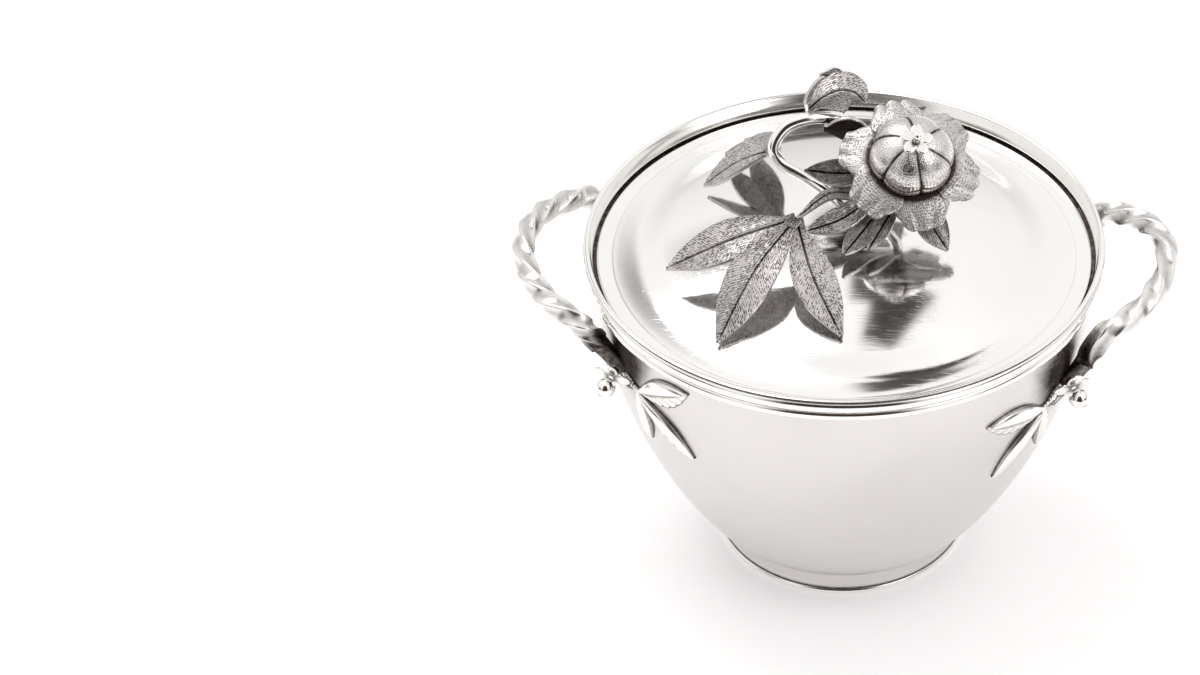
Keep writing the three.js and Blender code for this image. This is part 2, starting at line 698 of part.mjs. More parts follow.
/** One of the six broad outer petals; every second one lies a layer lower. */
function outerPetal(index) {
  const middleAngle = (index / OUTER_PETALS) * TAU - 0.26
  const layer = index % 2 === 0 ? 0 : -(PETAL_SHEET + GAP)
  const inner = 2.4
  return formed(5, 4, (along, across, face) => {
    const reach = THREE.MathUtils.lerp(inner, FLOWER_RADIUS, along)
    const shoulder = Math.sqrt(Math.max(1 - along ** 6, 0.12))
    const half = Math.min(reach * 0.62, 6.9) * shoulder
    const droop = PETAL_CROWN * Math.sin(Math.PI * along) - PETAL_DROOP * along ** 2
    const angle = middleAngle + (across * half) / reach
    return onFlower(reach, angle, layer + droop + (face * PETAL_SHEET) / 2)
  })
}

const budFloor = PETAL_CROWN + PETAL_SHEET / 2 + GAP
const budTop = budFloor + BUD_HEIGHT

/** Six folded petals closed into a dome, shown as a lobed cap. */
function bud() {
  const cap = new THREE.SphereGeometry(1, 30, 8, 0, TAU, 0, Math.PI / 2).toNonIndexed()
  cap.rotateX(Math.PI / 2)
  const p = cap.attributes.position
  for (let i = 0; i < p.count; i++) {
    const [x, y, z] = [p.getX(i), p.getY(i), Math.max(p.getZ(i), 0)]
    const lobes = 1 + 0.045 * Math.hypot(x, y) * Math.cos(Math.atan2(y, x) * 6 + z * 2.4)
    p.setXYZ(i, x * BUD_RADIUS * lobes, y * BUD_RADIUS * lobes, budFloor + z * BUD_HEIGHT)
  }
  const base = new THREE.CircleGeometry(1, 30).toNonIndexed()
  const q = base.attributes.position
  for (let i = 0; i < q.count; i++) {
    const [x, y] = [q.getX(i), -q.getY(i)]
    const lobes = 1 + 0.045 * Math.hypot(x, y) * Math.cos(Math.atan2(y, x) * 6)
    q.setXYZ(i, x * BUD_RADIUS * lobes, y * BUD_RADIUS * lobes, budFloor)
  }
  const whole = new THREE.BufferGeometry()
  const skin = [...p.array, ...q.array]
  whole.setAttribute('position', new THREE.Float32BufferAttribute(skin, 3))
  return turnTowards(facingOut(whole), flowerFacing, flowerMiddle)
}

const floretAlong = budTop + GAP + FLORET_THICKNESS / 2

function floret() {
  const spread = FLORET_PETAL * 1.23
  const petals = [0, 1, 2, 3, 4]
    .map((i) => lobe(FLORET_PETAL, FLORET_THICKNESS, spread, (i / 5) * TAU + 0.3))
  const disc = new THREE.CylinderGeometry(FLORET_PETAL, FLORET_PETAL, FLORET_THICKNESS * 0.75, 12)
  disc.rotateX(Math.PI / 2)
  const middle = flowerMiddle.clone().addScaledVector(flowerFacing, floretAlong)
  return turnTowards(joined([...petals, disc]), flowerFacing, middle)
}

function floretSeed() {
  const along = floretAlong + FLORET_THICKNESS / 2 + GAP + SEED_RADIUS
  const middle = flowerMiddle.clone().addScaledVector(flowerFacing, along)
  return new THREE.SphereGeometry(SEED_RADIUS, 10, 8).translate(middle.x, middle.y, middle.z)
}

// ---- Assembly ----

const group = new THREE.Group()
group.name = 'sugar_bowl'

const finishes = {
  satin: { color: 0xd9d8d6, roughness: 0.32, metalness: 1 },
  polished: { color: 0xe6e5e2, roughness: 0.12, metalness: 1 },
  stippled: { color: 0xbdb8b3, roughness: 0.5, metalness: 1 },
}

function place(name, geometry, finish, parent = group) {
  const mesh = new THREE.Mesh(geometry, new THREE.MeshStandardMaterial(finishes[finish]))
  mesh.name = name
  parent.add(mesh)
}

const bowl = new THREE.Group()
const lid = new THREE.Group()
group.add(bowl, lid)

place('bowl_shell', bowlShell(), 'satin', bowl)
place('rim_moulding', rimMoulding(), 'polished', bowl)
place('lower_rim_wire', lowerRimWire(), 'polished', bowl)
place('foot_ring', footRing(), 'satin', bowl)
place('foot_wire', footWire(), 'polished', bowl)

/** The back half of a handle is the front half seen in a mirror. */
function mirroredToBack(geometry) {
  const copy = geometry.clone()
  copy.scale(1, -1, 1)
  return facingOut(copy)
}

for (const [side, handle] of Object.entries(HANDLES)) {
  const turned180 = handle.turn !== 0
  const holder = new THREE.Group()
  holder.rotation.z = handle.turn
  bowl.add(holder)
  place(`handle_${side}`, handleBar(handle), 'polished', holder)
  const ends = [
    { label: turned180 ? 'back' : 'front', end: handle.front, shape: (piece) => piece },
    { label: turned180 ? 'front' : 'back', end: handle.back, shape: mirroredToBack },
  ]
  for (const { label, end, shape } of ends) {
    place(`handle_root_${side}_${label}`, shape(handleRoot(end)), 'satin', holder)
    place(`leaf_spray_${side}_${label}`, shape(wallSpray(end)), 'satin', holder)
    place(`blossom_${side}_${label}`, shape(blossom(end)), 'polished', holder)
    place(`berry_${side}_${label}`, shape(berry(end)), 'polished', holder)
  }
}

place('lid_dome', lidDome(), 'polished', lid)
place('lid_bezel', lidBezel(), 'satin', lid)
place('finial_boss', finialBoss(), 'polished', lid)
place('finial_washer', washer(), 'satin', lid)
place('finial_nut', nut(), 'satin', lid)
place('finial_stalk', stalk(), 'polished', lid)
place('front_leaf_spray', frontSpray(), 'stippled', lid)
place('rear_left_leaf_spray', rearLeftSpray(), 'stippled', lid)
place('crest_leaf', crestLeaf(), 'stippled', lid)
place('curled_leaf', curledLeaf(), 'stippled', lid)
place('rear_under_leaf', rearUnderLeaf(), 'stippled', lid)
for (const [name, shape] of Object.entries(UNDER_LEAVES)) {
  place(name, bractLeaf(shape), 'stippled', lid)
}
place('flower_cup', flowerCup(), 'stippled', lid)
for (let i = 0; i < OUTER_PETALS; i++) {
  place(`outer_petal_${i + 1}`, outerPetal(i), 'stippled', lid)
}
place('bud', bud(), 'stippled', lid)
place('floret', floret(), 'polished', lid)
place('floret_seed', floretSeed(), 'polished', lid)

export default group
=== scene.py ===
"""Looks of a covered silver sugar bowl.

A raised bowl on a ring foot, two twisted-bar handles held by leaf sprays, and a lift-off lid with
a flower finial. Shapes are in millimetres until a mesh is made.
"""

import logging
import math
from collections.abc import Iterable
from dataclasses import dataclass, field
from enum import Enum

import bmesh
import bpy
import numpy as np
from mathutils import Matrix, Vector


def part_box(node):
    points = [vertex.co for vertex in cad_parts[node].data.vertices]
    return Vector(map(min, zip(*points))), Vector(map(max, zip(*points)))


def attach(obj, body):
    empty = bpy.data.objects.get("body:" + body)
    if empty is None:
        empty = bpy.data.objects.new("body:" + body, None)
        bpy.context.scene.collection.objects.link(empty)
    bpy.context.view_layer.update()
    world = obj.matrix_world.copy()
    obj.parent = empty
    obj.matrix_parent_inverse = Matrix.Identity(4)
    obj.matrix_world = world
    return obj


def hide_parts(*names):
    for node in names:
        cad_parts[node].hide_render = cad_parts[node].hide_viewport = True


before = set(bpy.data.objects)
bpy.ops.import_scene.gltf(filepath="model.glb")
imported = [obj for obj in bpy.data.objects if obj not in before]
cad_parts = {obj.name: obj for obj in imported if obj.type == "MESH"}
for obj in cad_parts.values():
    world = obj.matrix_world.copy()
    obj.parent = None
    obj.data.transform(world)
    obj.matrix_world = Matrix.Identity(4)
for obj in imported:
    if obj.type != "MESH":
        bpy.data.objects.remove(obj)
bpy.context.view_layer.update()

LOG = logging.getLogger("sugar_bowl")
MM = 0.001
TAU = math.tau
MARKS = "marks"
WELD = 2e-7  # points nearer than this, in metres, become one
SHEET_EDGE = -1.0  # recess value of a sheet's bright edge

Array = np.ndarray
Triple = tuple[float, float, float]


# ---- Small geometry ----


def unit(vectors: Array) -> Array:
    """Scales vectors to length one."""
    return vectors / np.linalg.norm(vectors, axis=-1, keepdims=True)


def mix(start: float, end: float, share: Array) -> Array:
    """Value at a share of the way from start to end."""
    return start + (end - start) * share


def ridge(value: Array, width: float) -> Array:
    """1 on the line value = 0, falling smoothly to 0 at about twice the width."""
    return np.exp(-((value / width) ** 2))


def together(*parts: Array) -> Array:
    """Values that vary over one shell, side by side in the last axis."""
    return np.stack(np.broadcast_arrays(*parts), axis=-1)


def corner(node: str, end: int) -> Array:
    """Lowest (0) or highest (1) corner of a CAD node, in millimetres."""
    return np.array(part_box(node)[end]) / MM


def bezier(a: Triple, b: Triple, c: Triple, d: Triple, share: Array) -> Array:
    """Points of a cubic Bezier curve.

    Args:
        a, b, c, d: its four control points.
        share: positions from 0 to 1.

    Returns:
        One point per position.
    """
    s = np.asarray(share)[:, None]
    a, b, c, d = (np.array(p, float) for p in (a, b, c, d))
    return (1 - s) ** 3 * a + 3 * (1 - s) ** 2 * s * b + 3 * (1 - s) * s**2 * c + s**3 * d


class Line:
    """A smooth centripetal curve through given points."""

    def __init__(self, points: Iterable[Iterable[float]]) -> None:
        """Keeps the points and mirrors one past each end."""
        p = np.array([list(q) for q in points], float)
        self.points = np.vstack([2 * p[0] - p[1], p, 2 * p[-1] - p[-2]])
        self.spans = len(p) - 1

    def at(self, along: Array) -> Array:
        """Points of the curve.

        Args:
            along: positions from 0 to 1, counted in spans between the set points.

        Returns:
            One point per position.
        """
        place = np.clip(np.asarray(along, float), 0, 1) * self.spans
        first = np.minimum(place.astype(int), self.spans - 1)
        t = (place - first)[:, None]
        p0, p1, p2, p3 = (self.points[first + i] for i in range(4))
        d0, d1, d2 = (
            np.maximum(np.linalg.norm(b - a, axis=1) ** 0.5, 0.01)[:, None]
            for a, b in ((p0, p1), (p1, p2), (p2, p3))
        )
        leave = ((p1 - p0) / d0 - (p2 - p0) / (d0 + d1) + (p2 - p1) / d1) * d1
        arrive = ((p2 - p1) / d1 - (p3 - p1) / (d1 + d2) + (p3 - p2) / d2) * d1
        third = 3 * (p2 - p1) - 2 * leave - arrive
        return p1 + leave * t + third * t**2 + (2 * (p1 - p2) + leave + arrive) * t**3

    def frames(self, along: Array, up: Iterable[float]) -> tuple[Array, Array, Array]:
        """Middle, side and normal at each position, the side kept square to up."""
        along = np.asarray(along, float)
        heading = unit(self.at(along + 1e-4) - self.at(along - 1e-4))
        side = unit(np.cross(np.broadcast_to(np.array(up, float), heading.shape), heading))
        return self.at(along), side, unit(np.cross(heading, side))

    def length(self) -> float:
        """Length of the whole curve."""
        p = self.at(np.linspace(0, 1, 200))
        return float(np.linalg.norm(np.diff(p, axis=0), axis=1).sum())


class Skin:
    """Closed shells gathered into one smooth mesh.

    Each vertex carries marks: distance along, distance across, and how dark it is painted, 0 to 1,
    for patina deep in a recess and for painted shade. A recess of -1 marks a bright edge that no
    punch has touched.
    """

    def __init__(self) -> None:
        """Starts empty."""
        self.points: list[Array] = []
        self.marks: list[Array] = []
        self.faces: list[list[int]] = []
        self.count = 0

    def loft(self, rows: Array, marks: Array | None = None, capped: bool = True) -> None:
        """Adds a shell of closed rows.

        Args:
            rows: points as (row, place in the row, xyz); each row closes on itself.
            marks: (along, across, recess) for each point.
            capped: closes the first and last rows with a face.
        """
        n, m, _ = rows.shape
        index = self.count + np.arange(n * m).reshape(n, m)
        after = np.roll(index, -1, axis=1)
        quads = np.stack([index[:-1], after[:-1], after[1:], index[1:]], axis=-1)
        self.faces += quads.reshape(-1, 4).tolist()
        if capped:
            self.faces += [index[0].tolist(), index[-1][::-1].tolist()]
        self.points.append(rows.reshape(-1, 3))
        self.marks.append(np.zeros((n * m, 3)) if marks is None else marks.reshape(-1, 3))
        self.count += n * m

    def build(
        self, name: str, flips: tuple[int, int] = (1, 1), sharp: float = 42.0
    ) -> bpy.types.Object:
        """Makes the mesh object.

        Args:
            name: the piece's name.
            flips: factors for x and y that turn or mirror the piece about the bowl's axis.
            sharp: edges that bend more than this many degrees stay crisp.

        Returns:
            The new object.
        """
        points = np.vstack(self.points) * MM * np.array([*flips, 1])
        mesh = bpy.data.meshes.new(name)
        mesh.from_pydata(points.tolist(), [], self.faces)
        marks = mesh.attributes.new(MARKS, "FLOAT_VECTOR", "POINT")
        marks.data.foreach_set("vector", np.vstack(self.marks).astype(np.float32).ravel())
        tidy = bmesh_of(mesh)
        bmesh.ops.remove_doubles(tidy, verts=tidy.verts, dist=WELD)
        bmesh.ops.recalc_face_normals(tidy, faces=tidy.faces)
        tidy.to_mesh(mesh)
        tidy.free()
        mesh.shade_smooth()
        mesh.set_sharp_from_angle(angle=math.radians(sharp))
        piece = bpy.data.objects.new(name, mesh)
        bpy.context.scene.collection.objects.link(piece)
        return piece


def bmesh_of(mesh: bpy.types.Mesh) -> bmesh.types.BMesh:
    """An editable copy of a mesh."""
    tidy = bmesh.new()
    tidy.from_mesh(mesh)
    return tidy


def turned(outline: Array, recess: Array | None = None, steps: int = 240) -> Skin:
    """A lathe-turned solid.

    Args:
        outline: (radius, height) points, closing on themselves or on the axis.
        recess: how dark each point is painted, for patina in a groove or for painted shade, 0 to 1.
        steps: sides of the turned piece.

    Returns:
        A skin with one shell.
    """
    outline = np.asarray(outline, float)
    recess = np.zeros(len(outline)) if recess is None else np.asarray(recess, float)
    if outline[0, 0] > 0 or outline[-1, 0] > 0:
        outline = np.vstack([outline, outline[:1]])
        recess = np.append(recess, recess[0])
    angle = np.linspace(0, TAU, steps, endpoint=False)
    radius, height = outline[:, :1], outline[:, 1:]
    rows = together(radius * np.cos(angle), radius * np.sin(angle), height)
    run = np.append(0, np.cumsum(np.linalg.norm(np.diff(outline, axis=0), axis=1)))
    marks = together(radius * angle, run[:, None], recess[:, None])
    skin = Skin()
    skin.loft(rows, marks, capped=False)
    return skin


def rounded(points: Iterable[Iterable[float]], ease: float = 0.15) -> Array:
    """A closed outline with each corner cut back twice, so that its edges catch light.

    Args:
        points: the outline's corners as (radius, height).
        ease: how far each corner is cut back.

    Returns:
        The eased outline, in the same order.
    """
    p = np.array([list(q) for q in points], float)
    made = []
    for before, here, after in zip(np.roll(p, 1, axis=0), p, np.roll(p, -1, axis=0), strict=True):
        back, on = before - here, after - here
        cut = min(ease, 0.4 * np.linalg.norm(back), 0.4 * np.linalg.norm(on))
        a, b = here + unit(back) * cut, here + unit(on) * cut
        made += [a, 0.25 * a + 0.5 * here + 0.25 * b, b]
    return np.array(made)


def half_round(radius: float, top: float, height: float, bulge: float, steps: int = 14) -> Array:
    """Outline of a reed from its top down to its bottom."""
    angle = np.linspace(0, math.pi, steps)
    drop = height * (1 - np.cos(angle)) / 2
    return np.stack([radius + bulge * np.sin(angle), top - drop], axis=1)


def reed_shade(steps: int) -> Array:
    """How dark each point of a reed is: 1 in the grooves beside it, 0 on its crown."""
    return ridge(np.sin(np.linspace(0, math.pi, steps)), 0.3)


# ---- Finishes ----


class Wires:
    """Adds nodes to a tree and joins them up."""

    def __init__(self, tree: bpy.types.NodeTree) -> None:
        """Keeps the tree."""
        self.tree = tree

    def add(self, kind: str, inputs: dict | None = None, **settings: object) -> bpy.types.Node:
        """Adds a node.

        Args:
            kind: its type, without the ShaderNode prefix.
            inputs: for each socket name or number, an output to link or a plain value.
            settings: node properties such as operation or blend_type.

        Returns:
            The new node.
        """
        node = self.tree.nodes.new(kind if kind.startswith("Node") else "ShaderNode" + kind)
        for name, value in settings.items():
            setattr(node, name, value)
        for name, value in (inputs or {}).items():
            if isinstance(value, bpy.types.NodeSocket):
                self.tree.links.new(value, node.inputs[name])
            else:
                node.inputs[name].default_value = value
        return node

    def maths(self, operation: str, *values: object, clamp: bool = False) -> bpy.types.NodeSocket:
        """Output of a Math node on the given sockets or numbers."""
        node = self.add("Math", dict(enumerate(values)), operation=operation, use_clamp=clamp)
        return node.outputs[0]

    def blend(self, share: object, first: object, second: object) -> bpy.types.NodeSocket:
        """Output of a colour mix: first at share 0, second at share 1."""
        node = self.add("Mix", {0: share, 6: first, 7: second}, data_type="RGBA")
        return node.outputs[2]

    def noise(self, where: object, scale: float, detail: float = 2.0) -> bpy.types.NodeSocket:
        """Value of a noise texture."""
        return self.add("TexNoise", {"Vector": where, "Scale": scale, "Detail": detail}).outputs[0]


def shared_effect(
    name: str, inputs: dict[str, tuple[str, object]], outputs: dict[str, str]
) -> tuple[bpy.types.NodeTree, Wires, bpy.types.Node, bpy.types.Node]:
    """Starts a shader node group with named sockets.

    Args:
        name: the group's name.
        inputs: socket type and default value by name.
        outputs: socket type by name.

    Returns:
        The group, its wires, its input node and its output node.
    """
    group = bpy.data.node_groups.new(name, "ShaderNodeTree")
    for label, (kind, default) in inputs.items():
        socket = group.interface.new_socket(label, in_out="INPUT", socket_type="NodeSocket" + kind)
        socket.default_value = default
    for label, kind in outputs.items():
        group.interface.new_socket(label, in_out="OUTPUT", socket_type="NodeSocket" + kind)
    wires = Wires(group)
    return group, wires, wires.add("NodeGroupInput"), wires.add("NodeGroupOutput")


@dataclass
class Effects:
    """Effects that several finishes share, each a node group built once."""

    tarnish_and_shade: bpy.types.NodeTree = field(init=False)
    polish: bpy.types.NodeTree = field(init=False)
    punching: bpy.types.NodeTree = field(init=False)

    def __post_init__(self) -> None:
        """Builds the groups."""
        self.tarnish_and_shade = self._tarnish_and_shade()
        self.polish = self._polish()
        self.punching = self._punching()

    @staticmethod
    def _marks(wires: Wires) -> list[bpy.types.NodeSocket]:
        """Along, across and recess of the piece's own marks."""
        held = wires.add("Attribute", attribute_name=MARKS, attribute_type="GEOMETRY")
        return list(wires.add("SeparateXYZ", {0: held.outputs["Vector"]}).outputs)

    def _tarnish_and_shade(self) -> bpy.types.NodeTree:
        """Colour for recesses, partly patina that stays in the hollows and partly painted shade in
        crevices and under things, fading out over the open metal.
        """
        group, wires, given, made = shared_effect(
            "recess_tarnish_and_shade",
            {
                "Metal": ("Color", (0.9, 0.9, 0.9, 1)),
                "Oxide and shade": ("Color", (0.08, 0.06, 0.05, 1)),
                "Depth": ("Float", 1.0),
                "Cloud": ("Float", 0.1),
            },
            {"Color": "Color", "Mask": "Float"},
        )
        recess = self._marks(wires)[2]
        place = wires.add("TexCoord").outputs["Object"]
        cloud = wires.noise(place, 55.0, 3.0)
        fine = wires.noise(place, 900.0, 2.0)
        # Patina and painted shade alike: the recess mark darkens the metal towards the recess
        # colour.
        deep = wires.maths("MULTIPLY", recess, given.outputs["Depth"])
        speckle = wires.maths("ADD", 0.62, wires.maths("MULTIPLY", fine, 0.75))
        broken = wires.maths("MULTIPLY", deep, speckle)
        film = wires.maths("MULTIPLY", wires.maths("SUBTRACT", cloud, 0.42), given.outputs["Cloud"])
        mask = wires.maths("ADD", broken, wires.maths("MAXIMUM", film, 0.0), clamp=True)
        wires.tree.links.new(
            wires.blend(mask, given.outputs["Metal"], given.outputs["Oxide and shade"]), made.inputs["Color"]
        )
        wires.tree.links.new(mask, made.inputs["Mask"])
        return group

    def _polish(self) -> bpy.types.NodeTree:
        """Hand polishing: cloudy gloss and hairline scratches in crossing directions."""
        group, wires, given, made = shared_effect(
            "hand_polish",
            {
                "Gloss": ("Float", 0.1),
                "Wander": ("Float", 0.05),
                "Hairlines": ("Float", 0.3),
                "Spacing": ("Float", 1.0),
            },
            {"Roughness": "Float", "Height": "Float"},
        )
        place = wires.add("TexCoord").outputs["Object"]
        scratches = []
        for turn, stretch in (
            (0.4, (60, 2400, 2400)),
            (1.9, (80, 2900, 2900)),
            (2.9, (50, 3300, 3300)),
        ):
            turned_place = wires.add(
                "Mapping", {"Vector": place, "Rotation": (0.3, 0.2, turn), "Scale": stretch}
            ).outputs[0]
            lines = wires.noise(turned_place, 1.0, 1.0)
            peaks = wires.maths("SUBTRACT", lines, 0.62)
            scratches.append(wires.maths("SMOOTH_MAX", peaks, 0.0, 0.02))
        hair = wires.maths("ADD", wires.maths("ADD", scratches[0], scratches[1]), scratches[2])
        cloud = wires.maths("SUBTRACT", wires.noise(place, 90.0, 4.0), 0.5)
        rough = wires.maths("MULTIPLY_ADD", cloud, given.outputs["Wander"], given.outputs["Gloss"])
        scuffed = wires.maths(
            "MULTIPLY_ADD", hair, wires.maths("MULTIPLY", given.outputs["Hairlines"], 0.6), rough
        )
        wires.tree.links.new(wires.maths("MAXIMUM", scuffed, 0.03), made.inputs["Roughness"])
        hammer = wires.noise(place, wires.maths("MULTIPLY", given.outputs["Spacing"], 42.0), 1.0)
        height = wires.maths("MULTIPLY_ADD", hair, given.outputs["Hairlines"], hammer)
        wires.tree.links.new(height, made.inputs["Height"])
        return group

    def _punching(self) -> bpy.types.NodeTree:
        """Rows of fine punch marks that slant away from a leaf's midrib towards its edges."""
        group, wires, given, made = shared_effect(
            "punched_rows",
            {
                "Pitch": ("Float", 0.55),
                "Slant": ("Float", 0.9),
                "Depth": ("Float", 1.0),
            },
            {"Height": "Float", "Mask": "Float"},
        )
        along, across, recess = self._marks(wires)
        open_metal = wires.maths("ADD", recess, 1.0, clamp=True)
        place = wires.add("TexCoord").outputs["Object"]
        apart = wires.maths("ABSOLUTE", across)
        sway = wires.maths("MULTIPLY", wires.maths("SUBTRACT", wires.noise(place, 420.0), 0.5), 0.5)
        lean = wires.maths("MULTIPLY", apart, given.outputs["Slant"])
        slanted = wires.maths("MULTIPLY_ADD", lean, -1.0, along)
        row = wires.maths("DIVIDE", wires.maths("ADD", slanted, sway), given.outputs["Pitch"])
        dot = wires.maths("DIVIDE", apart, wires.maths("MULTIPLY", given.outputs["Pitch"], 0.8))
        grid = wires.add("CombineXYZ", {0: row, 1: dot, 2: wires.maths("SIGN", across)}).outputs[0]
        cells = wires.add(
            "TexVoronoi", {"Vector": grid, "Scale": 1.0, "Randomness": 0.45}, feature="F1"
        ).outputs["Distance"]
        pit = wires.add(
            "MapRange", {0: cells, 1: 0.2, 2: 0.6, 3: 1.0, 4: 0.0}, interpolation_type="SMOOTHSTEP"
        ).outputs[0]
        patches = wires.noise(place, 260.0)
        uneven = wires.add("MapRange", {0: patches, 1: 0.25, 2: 0.6, 3: 0.35, 4: 1.0}).outputs[0]
        struck = wires.maths("MULTIPLY", pit, given.outputs["Depth"])
        mask = wires.maths("MULTIPLY", wires.maths("MULTIPLY", struck, uneven), open_metal)
        grain = wires.maths("MULTIPLY", wires.noise(place, 3800.0), 0.3)
        wires.tree.links.new(wires.maths("SUBTRACT", grain, mask), made.inputs["Height"])
        wires.tree.links.new(mask, made.inputs["Mask"])
        return group


PUNCH_DEPTH = 0.11  # depth of a punch mark, in millimetres


class Slot(Enum):
    """The record's material slots."""

    SATIN = "satin_silver"
    POLISHED = "polished_silver"
    STIPPLED = "stippled_silver"


@dataclass(frozen=True)
class Silver:
    """One finish of silver.

    Attributes:
        name: the material's name.
        slot: the record's material slot; not used.
        metal: colour of the open metal.
        gloss: roughness of the polished surface.
        wander: how much the gloss drifts from place to place.
        hairlines: how strong the polishing scratches are.
        waves: height of the hammered waves, in millimetres.
        spacing: how close together the waves stand.
        oxide_and_shade: colour of the recesses, for patina in the hollows and for painted shade.
        depth: how fully a recess is darkened.
        cloud: how much patchy patina lies on the open metal.
        punched: strength of the punch marks; 0 leaves them out.
        pitch: distance between rows of punch marks, in millimetres.
        slant: how far the rows lean towards the edges.
    """

    name: str
    slot: Slot
    metal: Triple
    gloss: float
    wander: float = 0.05
    hairlines: float = 0.3
    waves: float = 0.02
    spacing: float = 1.0
    # Colour of patina in the hollows, and of the painted shade in crevices and under things.
    oxide_and_shade: Triple = (0.09, 0.065, 0.05)
    depth: float = 1.0
    cloud: float = 0.1
    punched: float = 0.0
    pitch: float = 0.5
    slant: float = 0.9

    def material(self, effects: Effects) -> bpy.types.Material:
        """Builds the material.

        Args:
            effects: the shared node groups.

        Returns:
            A new material.
        """
        made = bpy.data.materials.new(self.name)
        made.use_nodes = True
        made.node_tree.nodes.clear()
        wires = Wires(made.node_tree)
        tarnish_and_shade = wires.add("Group", node_tree=effects.tarnish_and_shade)
        tarnish_and_shade.inputs["Metal"].default_value = (*self.metal, 1)
        tarnish_and_shade.inputs["Oxide and shade"].default_value = (*self.oxide_and_shade, 1)
        tarnish_and_shade.inputs["Depth"].default_value = self.depth
        tarnish_and_shade.inputs["Cloud"].default_value = self.cloud
        polish = wires.add("Group", node_tree=effects.polish)
        for label, value in (
            ("Gloss", self.gloss),
            ("Wander", self.wander),
            ("Hairlines", self.hairlines),
            ("Spacing", self.spacing),
        ):
            polish.inputs[label].default_value = value
        colour, rough = tarnish_and_shade.outputs["Color"], polish.outputs["Roughness"]
        bump = wires.add(
            "Bump",
            {"Strength": 1.0, "Distance": self.waves * MM, "Height": polish.outputs["Height"]},
        )
        if self.punched > 0:
            punch = wires.add("Group", node_tree=effects.punching)
            for label, value in (
                ("Pitch", self.pitch),
                ("Slant", self.slant),
                ("Depth", self.punched),
            ):
                punch.inputs[label].default_value = value
            dark = wires.maths("MULTIPLY", punch.outputs["Mask"], 0.72)
            colour = wires.blend(dark, colour, (*self.oxide_and_shade, 1))
            rough = wires.maths("MULTIPLY_ADD", punch.outputs["Mask"], 0.25, rough)
            bump = wires.add(
                "Bump",
                {
                    "Strength": 1.0,
                    "Distance": PUNCH_DEPTH * MM,
                    "Height": punch.outputs["Height"],
                    "Normal": bump.outputs[0],
                },
            )
        rough = wires.maths("MULTIPLY_ADD", tarnish_and_shade.outputs["Mask"], 0.3, rough)
        shader = wires.add(
            "BsdfPrincipled",
            {"Base Color": colour, "Metallic": 1.0, "Roughness": rough, "Normal": bump.outputs[0]},
        )
        out = wires.add("OutputMaterial", {"Surface": shader.outputs[0]})
        out.is_active_output = True
        return made


SATIN = Silver(
    "satin_silver",
    Slot.SATIN,
    (0.725, 0.697, 0.69),
    0.3,
    wander=0.08,
    waves=0.05,
    spacing=0.6,
    oxide_and_shade=(0.045, 0.03, 0.024),
)
TWISTED = Silver(
    "twisted_silver",
    Slot.POLISHED,
    (0.86, 0.84, 0.82),
    0.19,
    waves=0.05,
    spacing=3.0,
    oxide_and_shade=(0.05, 0.034, 0.027),
)
POLISHED = Silver(
    "polished_silver",
    Slot.POLISHED,
    (0.95, 0.935, 0.915),
    0.12,
    waves=0.03,
    spacing=2.0,
)
MIRROR = Silver(
    "mirror_silver",
    Slot.POLISHED,
    (0.95, 0.94, 0.925),
    0.085,
    wander=0.06,
    hairlines=0.5,
    waves=0.035,
)
INSIDE = Silver("inner_silver", Slot.SATIN, (0.86, 0.83, 0.79), 0.36, cloud=0.5, waves=0.04)
LEAF = Silver(
    "stippled_silver",
    Slot.STIPPLED,
    (0.64, 0.61, 0.6),
    0.33,
    oxide_and_shade=(0.035, 0.024, 0.021),
    cloud=0.9,
    punched=1.15,
    pitch=0.66,
)
BUD = Silver(
    "bud_silver",
    Slot.STIPPLED,
    (0.82, 0.79, 0.775),
    0.17,
    oxide_and_shade=(0.05, 0.036, 0.03),
    cloud=0.4,
    punched=0.35,
    pitch=0.55,
    slant=0.0,
)
PETAL = Silver(
    "petal_silver",
    Slot.STIPPLED,
    (0.76, 0.732, 0.715),
    0.27,
    oxide_and_shade=(0.055, 0.04, 0.033),
    cloud=0.4,
    punched=0.85,
    pitch=0.62,
    slant=0.0,
)
CHASED = Silver(
    "chased_silver",
    Slot.SATIN,
    (0.93, 0.91, 0.885),
    0.17,
    oxide_and_shade=(0.06, 0.042, 0.034),
    waves=0.03,
    spacing=3.0,
)


@dataclass
class Workshop:
    """Dresses finished skins and hangs them on the CAD bodies."""

    effects: Effects
    materials: dict[str, bpy.types.Material] = field(default_factory=dict)

    def finish(
        self,
        skin: Skin,
        node: str,
        body: str,
        silver: Silver,
        flips: tuple[int, int] = (1, 1),
        sharp: float = 42.0,
    ) -> bpy.types.Object:
        """Makes the piece that stands for a CAD node.

        Args:
            skin: its shape.
            node: the CAD node it replaces.
            body: the body it rides on.
            silver: its finish.
            flips: factors for x and y.
            sharp: edges that bend more than this many degrees stay crisp.

        Returns:
            The finished object.
        """
        piece = skin.build(node + "_silver", flips, sharp)
        if silver.name not in self.materials:
            self.materials[silver.name] = silver.material(self.effects)
        piece.data.materials.append(self.materials[silver.name])
        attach(piece, body)
        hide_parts(node)
        LOG.info("%s on %s: %d faces", piece.name, body, len(piece.data.polygons))
        return piece


# ---- Bowl ----


